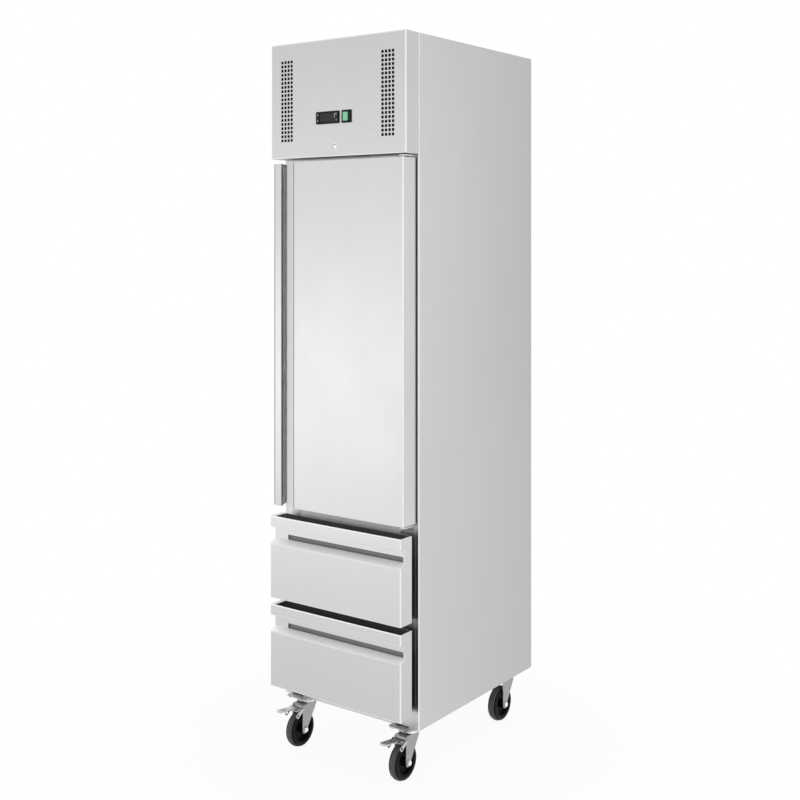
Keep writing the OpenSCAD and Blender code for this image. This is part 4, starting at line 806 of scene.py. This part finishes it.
switch = {"size": (33, 35), "corner": 2.2, "bend": 1.2, "proud": 3, "depth": 24, "well": (26.9, 25.8),
          "wellCut": (5, 14), "pivot": -302, "pinRadius": 2, "pinEnd": 1.2, "tilt": 7, "half": 12, "face": 9.5,
          "middle": 7.6, "back": 3, "taper": 2.5, "height": 25, "radii": (0.6, 30, 0.6, 1, 1), "litEnd": 3.4,
          "litGrow": 0.25, "litInset": 0.5, "litThick": 1.4, "litRim": 0.7}


def switchBezel():
    s, face, (before, behind), (spot, opening) = switch, header["front"], switch["wellCut"], header["switch"]
    front, well = face - s["proud"], (s["well"], 1, spot, face - before, face + behind, 3)
    shape = Shape().slab(s["size"], s["corner"], spot, front, face - 0.05).round(s["bend"], at(y=front), 3)
    body = Shape().slab(opening, 1, spot, face - 0.3, face + s["depth"], 3)
    return shape.cut(Shape().slab(*well)).join(body.cut(Shape().slab(*well)))


def rockerBlock(high, grow=0.0, inset=0.0):
    s = switch
    half, face, middle, back = s["half"], s["face"] + grow, s["middle"] + grow, s["back"]
    end = half - s["taper"]
    corners = [(inset - half, -face), (0, -middle), (half, -face), (end, back), (-end, back)]
    return Shape().prism([(*p, r) for p, r in zip(corners, s["radii"])], "z", -high, high)


def seated(shape):
    x, z = header["switch"][0]
    return shape.move((x, switch["pivot"], z), (switch["tilt"], "Z"))


def switchRocker():
    high, end = switch["height"] / 2, switch["height"] / 2 + switch["pinEnd"]
    shape = rockerBlock(high).round(0.5, at(z=(-high, high)), 2)
    return seated(shape.rod(switch["pinRadius"], -end, end, "z", 20))


def rockerLens():  # the half of the rocker painted light green, painted light
    s = switch
    high, far = s["height"] / 2 - s["litRim"], 20
    shape = rockerBlock(high, s["litGrow"], s["litInset"])
    for low in ((s["litEnd"], -far, -far), (-far, s["litThick"] - s["middle"], -far)):
        shape.cut(Shape().block(low, (far, far, far)))
    return seated(shape.round(0.3, anyOf(at(z=(-high, high)), at(x=s["litEnd"])), 2))


switchBezel().piece("switchBezel", "blackPlastic", "cabinet", "black_plastic", "switch_bezel")
# the rocker is painted dark green, painted shade, with its lit half painted light green, painted light
switchRocker().piece("switchRocker", "rockerDark", "rocker", "rocker_green", "switch_rocker")
rockerLens().piece("rockerLens", "rockerLens", "rocker", "rocker_green")

lock = {"place": (-3, 0, 1687), "front": -310, "back": -288, "ring": 10, "body": 8, "bore": 6.4, "dish": 1.4,
        "rim": (2, 0.6, 0.35, 1.1, 1.95), "plug": 6, "sunk": 0.6, "key": (2.4, 9, 5), "turn": 30,
        "tongue": (39, 6, -286, -283)}


def lockRing():
    k, y, r, back, (flat, edge, bevel, side, under) = lock, lock["front"], lock["ring"], lock["back"], lock["rim"]
    profile = [(k["bore"], back), (k["bore"], y + k["dish"]), (r - flat, y), (r - edge, y + bevel), (r, y + side),
               (r, y + under), (k["body"], y + under), (k["body"], back)]
    return Shape().lathe(profile, "y", 56, k["place"])


def inDish(spot, normal):
    reach = math.hypot(spot.x - lock["place"][0], spot.z - lock["place"][2])
    return normal.y < -0.1 and reach < lock["ring"] - lock["rim"][0]


def lockPlug():
    k, edge = lock, 0.6
    y, radius, (tip, half, y0, y1), (w, h, depth) = k["front"] + k["sunk"], k["plug"], k["tongue"], k["key"]
    shape = Shape().lathe([(0, y), (radius - edge, y), (radius, y + edge), (radius, y1), (0, y1)], "y", 40)
    slot = Shape().slab((w, h), 0.6, (0, 0), y - 1, y + depth, 2)
    shape.cut(slot.move((0, 0, 0), (k["turn"], "Y")))
    tongue = Shape().slab((tip + 2 * half, 2 * half), half - 0.1, (tip / 2, 0), y0, y1, 8)
    return shape.join(tongue.round(0.4, at(y=(y0, y1)), 2)).move(k["place"])


lockRing().piece("lockRing", "chrome", "cabinet", "bright_metal", "lock_housing", paint=[("forkZinc", inDish)])
lockPlug().piece("lockPlug", "chrome", "lock", "bright_metal", "lock_plug")
print("switch and lock done")

fanGuard = {"place": (0, 33), "level": 1531.8, "rings": (14, 26, 38, 50, 62), "wire": 1.1, "spokes": 4, "reach": 69,
            "foot": (5.5, 0.8, 2.1)}


def evaporatorGuard():  # the wire guard under the evaporator fan
    g, shape = fanGuard, Shape()
    (x, y), z, wire, (foot, low, high) = g["place"], g["level"], g["wire"], g["foot"]
    for radius in g["rings"]:
        shape.tube([(x + u, y + v, z) for u, v in circle(radius, steps=40)], wire, 8, True)
    for k in range(g["spokes"]):
        angle = math.pi * (k + 0.5) / g["spokes"]
        u, v = math.cos(angle) * g["reach"], math.sin(angle) * g["reach"]
        shape.tube([(x - u, y - v, z + wire), (x + u, y + v, z + wire)], wire, 8)
        for side in (-1, 1):
            shape.rod(foot, z + low, z + high, "z", 16, (x + side * u, y + side * v, 0))
    return shape


evaporatorGuard().piece("fanGuard", "coatedWire", "cabinet", "shelf_wire")
print("fan guard done")

# Castors, each drawn round its own upright axis

castor = {"x": 180.5, "front": -220, "rear": 270, "gap": 34, "metal": 2.5, "axle": (-28, 50), "axleRadius": 4}
plate = {"size": (70, 95), "corner": 7, "low": 139, "top": 141.98, "bolts": (26, 38), "head": (6.5, 4.1),
         "washer": (8, 0.9), "race": [(0, 139.2), (26, 139.2), (26, 134), (24.5, 132), (22, 131.3), (0, 131.3)],
         "kingpin": [(0, 131.4), (5, 131.4), (5, 118), (4, 117.5), (0, 117.5)]}


def castorPlate():
    p, low = plate, plate["low"]
    (boltX, boltY), (head, headHigh), (washer, washerHigh) = p["bolts"], p["head"], p["washer"]
    shape = Shape().prism(roundedRect(*p["size"], p["corner"]), "z", low, p["top"]).round(0.7, at(z=low), 2)
    shape.lathe(p["race"], "z").lathe(p["kingpin"], "z", 24)
    for sx, sy in itertools.product((-1, 1), (-1, 1)):
        bolt = Shape().prism(circle(head, steps=6), "z", low - headHigh, low - 0.1).round(0.5, at(z=low - headHigh), 2)
        bolt.prism(circle(washer, steps=24), "z", low - washerHigh, low + 0.2)
        shape.join(bolt.move((sx * boltX, sy * boltY, 0)))
    return shape


fork = {"crown": 122, "foot": 30, "bend": 5, "front": -40, "rear": 22,
        "dome": [(0, -0.5), (24, -0.5), (27.5, 1.5), (28, 4), (27.4, 6.5), (25.5, 9), (0, 9)],
        "boss": [(0, -0.6), (10, -0.6), (10, 0.6), (9, 1.1), (0, 1.1)],
        "nut": [(0, 0), (8, 0), (8, 4.6), (6.6, 6), (0, 6)]}


def castorFork():
    c, f, (y, z) = castor, fork, castor["axle"]
    inner, outer, crown, foot, bend = c["gap"] / 2, c["gap"] / 2 + c["metal"], f["crown"], f["foot"], f["bend"]
    under = crown - c["metal"]
    bent = [(-outer, foot), (-outer, crown, bend), (outer, crown, bend), (outer, foot), (inner, foot),
            (inner, under, bend / 2), (-inner, under, bend / 2), (-inner, foot)]
    side = [(20, crown + 1), (20, crown - 11, 8), (y + 11, z + 2, 8), (y + 10.6, z - 11, 10),
            (y - 10.6, z - 11, 10), (y - 11.5, z + 8, 6), (-38, crown - 26, 12), (-38, crown + 1)]
    shape = Shape().prism(bent, "y", f["front"], f["rear"], 4)
    shape.cut(Shape().prism(side, "x", -30, 30, 6), "INTERSECT")
    shape.lathe([(r, crown + h) for r, h in f["dome"]], "z")
    for side in (-1, 1):
        end = Shape()
        for key, steps in (("boss", 32), ("nut", 6)):
            end.lathe([(r, outer + h) for r, h in f[key]], "x", steps, (0, y, z))
        shape.join(end if side > 0 else end.mirror())
    return shape.rod(c["axleRadius"], -inner - 1, inner + 1, "x", 24, (0, y, z))


wheel = {"radius": 50, "width": 27, "hub": 37, "tread": 5, "turns": range(-70, 71, 14), "lastSine": 0.94,
         "hubGap": 0.05, "hubSide": [(4.05, 16.6), (9.5, 16.6), (11, 15.4), (12, 3.4), (14, 3), (29, 3), (31, 4)]}


def castorWheel():
    w = wheel
    half, hub, r, depth = w["width"] / 2, w["hub"], w["radius"], w["tread"]
    tread = [(r - depth + u, v / depth * (half - depth) / w["lastSine"]) for u, v in arc(depth, w["turns"])]
    tyre = [(hub, 1 - half), (hub + 1, -half), (hub + 6, -half), (r - 4.5, 1.2 - half), (r - 3.2, 2.6 - half)]
    profile = tyre + tread + [(a, -b) for a, b in reversed(tyre)]
    return Shape().lathe(profile, "x", 72, (0, *castor["axle"]))


def wheelHub():
    half, hub = wheel["width"] / 2, wheel["hub"] - wheel["hubGap"]
    side = wheel["hubSide"] + [(32.4, half - 2), (33.4, half - 1.2), (hub - 0.6, half - 1), (hub, half - 1.6)]
    return Shape().lathe([(a, -b) for a, b in side] + list(reversed(side)), "x", 72, (0, *castor["axle"]))


# the tread band, which is painted lighter, painted light
def onTread(place):
    y, z = castor["axle"]
    return lambda spot, normal: math.hypot(spot.y - place[1] - y, spot.z - z) > wheel["radius"] - 3.1


# the axle boss and nut, which are painted bright, a painted highlight
def onNut(place):
    reach = castor["gap"] / 2 + castor["metal"] + 1.2
    return lambda spot, normal: abs(spot.x - place[0]) > reach


def facingUp(spot, normal):
    return normal.z > 0.6


pedal = {"pivot": (-42, 109), "rods": ((3, 20.4), (5.5, 16.6)), "half": 12, "reach": 74, "fall": 11, "sheet": 2.5,
         "low": 3, "corner": 6, "flange": [(0, 5), (0, -1), (-30, -1, 6), (-48, 4.5)], "toe": (9, 5, 0.3),
         "ribs": (-5, 0, 5), "rib": (1, 6, 26, 1)}


def brakePedal():
    p, shape = pedal, Shape()
    (y, z), half, low, sheet, (toe, toeHigh, toeGap) = p["pivot"], p["half"], p["low"], p["sheet"], p["toe"]
    for radius, end in p["rods"]:
        shape.rod(radius, -end, end, "x", 24, (0, y, z))
    angle = math.atan2(p["fall"], p["reach"])
    long, top = p["reach"] / math.cos(angle), low + sheet
    outline = [(-half, 0), (half, 0), (half, -long, p["corner"]), (-half, -long, p["corner"])]
    tread = Shape().prism(outline, "z", low, top).round(0.5, at(z=(low, top)), 2)
    for x in (-half, half - sheet):
        tread.prism(p["flange"], "x", x, x + sheet, 4)
    tread.block((-toe, toeGap - long, 0), (toe, toeGap + sheet - long, toeHigh))
    wide, start, end, high = p["rib"]
    for x in p["ribs"]:
        rib = Shape().block((x - wide, start - long, top + 0.7 - high), (x + wide, end - long, top + 0.7))
        tread.join(rib.round(0.6, at(z=top + 0.7), 2))
    for link in (brakeCam(), brakeEar(), brakeEar().mirror()):
        shape.join(link.move((0, y, z)))
    return shape.join(tread.move((0, y, z), (-math.degrees(angle), "X")))


cam = {"radius": 5.6, "turns": range(-40, 221, 20), "nose": [(-3.4, -8.6), (-1.8, -9.8), (1.2, -9.8), (2.8, -8.6)],
       "half": 11}


def brakeCam():  # presses on the tyre when the pedal goes down
    half = cam["half"]
    shape = Shape().prism(arc(cam["radius"], cam["turns"]) + cam["nose"], "x", -half, half)
    return shape.round(0.6, at(x=(-half, half)), 2)


ear = {"eye": (-18.5, -11), "end": (7.2, range(130, 331, 20)), "root": (4.6, range(-40, 131, 17)), "hole": 3.9,
       "gap": 0.6, "thick": 2}


def brakeEar():  # the link beside the fork, with a hole at its end
    x0 = castor["gap"] / 2 + castor["metal"] + ear["gap"]
    x1 = x0 + ear["thick"]
    shape = Shape().prism(arc(*ear["end"], ear["eye"]) + arc(*ear["root"]), "x", x0, x1)
    shape.cut(Shape().prism(circle(ear["hole"], ear["eye"], 24), "x", x0 - 1, x1 + 1))
    return shape.round(0.4, at(x=(x0, x1)), 2)


for side, x in (("l", -castor["x"]), ("r", castor["x"])):
    for end, y in (("f", castor["front"]), ("r", castor["rear"])):
        corner, place = end + side, (x, y, 0)
        steers = ("swivel_" + corner, "zinc", "castor_fork_" + corner)
        rolls = ("wheel_" + corner, "wheel_black", "castor_wheel_" + corner)
        castorFork().move(place).piece("castorFork." + corner, "forkZinc", *steers, paint=[("nutZinc", onNut(place))])
        castorWheel().move(place).piece("castorTyre." + corner, "tyre", *rolls, paint=[("tread", onTread(place))])
        wheelHub().move(place).piece("castorHub." + corner, "hub", *rolls)
        castorPlate().move(place).piece("castorPlate." + corner, "zinc", "cabinet", "zinc", "castor_plates",
                                        paint=[("plateZinc", facingUp)])
    presses = ("pedal_" + side, "zinc", "brake_pedal_" + side)
    dark = [("pedalZinc", facingUp)] if side == "r" else []  # the right pedal's top is painted dark, a painted reflection of the black wheel
    brakePedal().move((x, castor["front"], 0)).piece("brakePedal." + side, "zinc", *presses, paint=dark)
print("castors done")

# The nodes that keep their own mesh

dress = {
    "linerSteel": ["cabinet_liner", "door_inner_panel", "upper_drawer_box", "lower_drawer_box", "shelf_supports"],
    "galvanised": ["back_panel", "rear_guard", "base_pan", "unit_deck"],
    "foam": ["insulation", "door_core"],
    "coatedWire": ["wire_shelves"],
    "whitePlastic": ["evaporator_cover", "door_bushes"],
    "blackPlastic": ["evaporator_fan", "condenser_fan", "supply_box"],
    "sealBlack": ["upper_drawer_seal", "lower_drawer_seal"],
    "enamel": ["compressor", "fan_motor"],
    "fins": ["condenser", "evaporator_coil"],
    "copper": ["refrigerant_pipes"],
    "zinc": ["hinge_brackets", "drawer_fixed_rails", "upper_runner", "lower_runner"],
}
for finish, names in dress.items():
    for name in names:
        nodes[name].data.materials.clear()
        nodes[name].data.materials.append(finishes[finish])
print("nodes dressed")

# Studio

studio = {"floor": 12.0, "floorTone": 0.97, "ambient": 0.72, "show": 0.93, "fade": (0.4, 1.3),
          "lamps": [("doorLamp", (-2.3, -3.2, 0.64), (0, -0.3, 1.05), (1.6, 1.2), 5.0),
                    ("headerLamp", (-2.3, -3.2, 1.8), (0, -0.3, 1.5), (1.6, 1.0), 1.0),
                    ("sideLamp", (1.7, 1.3, 1.3), (0.2, -0.1, 1.1), (0.7, 1.6), 0.6),
                    ("edgeLamp", (3.4, -1.2, 1.2), (0.2, -0.3, 1.1), (1.1, 2.3), 6)]}


def lightShare(finish, show):  # what the camera sees directly is dimmed to that share
    camera, glossy, passed = (finish.node("LightPath", output=ray)
                              for ray in ("Is Camera Ray", "Is Glossy Ray", "Is Transmission Ray"))
    return camera * show + glossy + passed


world = bpy.data.worlds.new("studio")
bpy.context.scene.world = world
sky, ambient = Finish(world), studio["ambient"]
strength = ambient + lightShare(sky, 1.0) * (1 - ambient)
glow = sky.node("Background", {}, {"Color": tint(1), "Strength": strength})
sky.node("OutputWorld", {}, {"Surface": glow})

ground = material("studioFloor")
lit = ground.node("BsdfDiffuse", {}, {"Color": tint(studio["floorTone"])})
bright = ground.node("Emission", {}, {"Color": tint(1), "Strength": 1.0})
away = ground.node("VectorMath", {"operation": "LENGTH"}, {0: ground.spot()}, "Value")
show = ground.fade(away, *studio["fade"], studio["show"], 1.0)  # the floor turns white with the distance
mixed = ground.node("MixShader", {}, {0: lightShare(ground, show), 1: lit, 2: bright})
ground.node("OutputMaterial", {}, {"Surface": mixed})
half = studio["floor"]
floorMesh = bpy.data.meshes.new("studioFloor")
floorMesh.from_pydata([(-half, -half, 0), (half, -half, 0), (half, half, 0), (-half, half, 0)], [], [(0, 1, 2, 3)])
floorMesh.materials.append(ground.owner)
floor = linked("studioFloor", floorMesh)

for name, spot, aim, size, power in studio["lamps"]:
    lamp = bpy.data.lights.new(name, "AREA")
    lamp.shape, lamp.size, lamp.size_y, lamp.energy = "RECTANGLE", *size, power
    holder = linked(name, lamp)
    holder.location, holder.visible_camera = spot, False
    holder.rotation_euler = (Vector(aim) - Vector(spot)).to_track_quat("-Z", "Y").to_euler()

view = {"spot": (2.0509, -2.7999, 1.4426), "turn": 36.366, "lens": 53.55, "sensor": 36, "shift": -0.2036}
camera = linked("camera", bpy.data.cameras.new("camera"))
camera.location, camera.rotation_euler = view["spot"], (math.radians(90), 0, math.radians(view["turn"]))
camera.data.lens, camera.data.sensor_width, camera.data.shift_y = view["lens"], view["sensor"], view["shift"]
bpy.context.scene.camera = camera
bpy.context.scene.view_settings.view_transform = "Standard"
print("studio done")
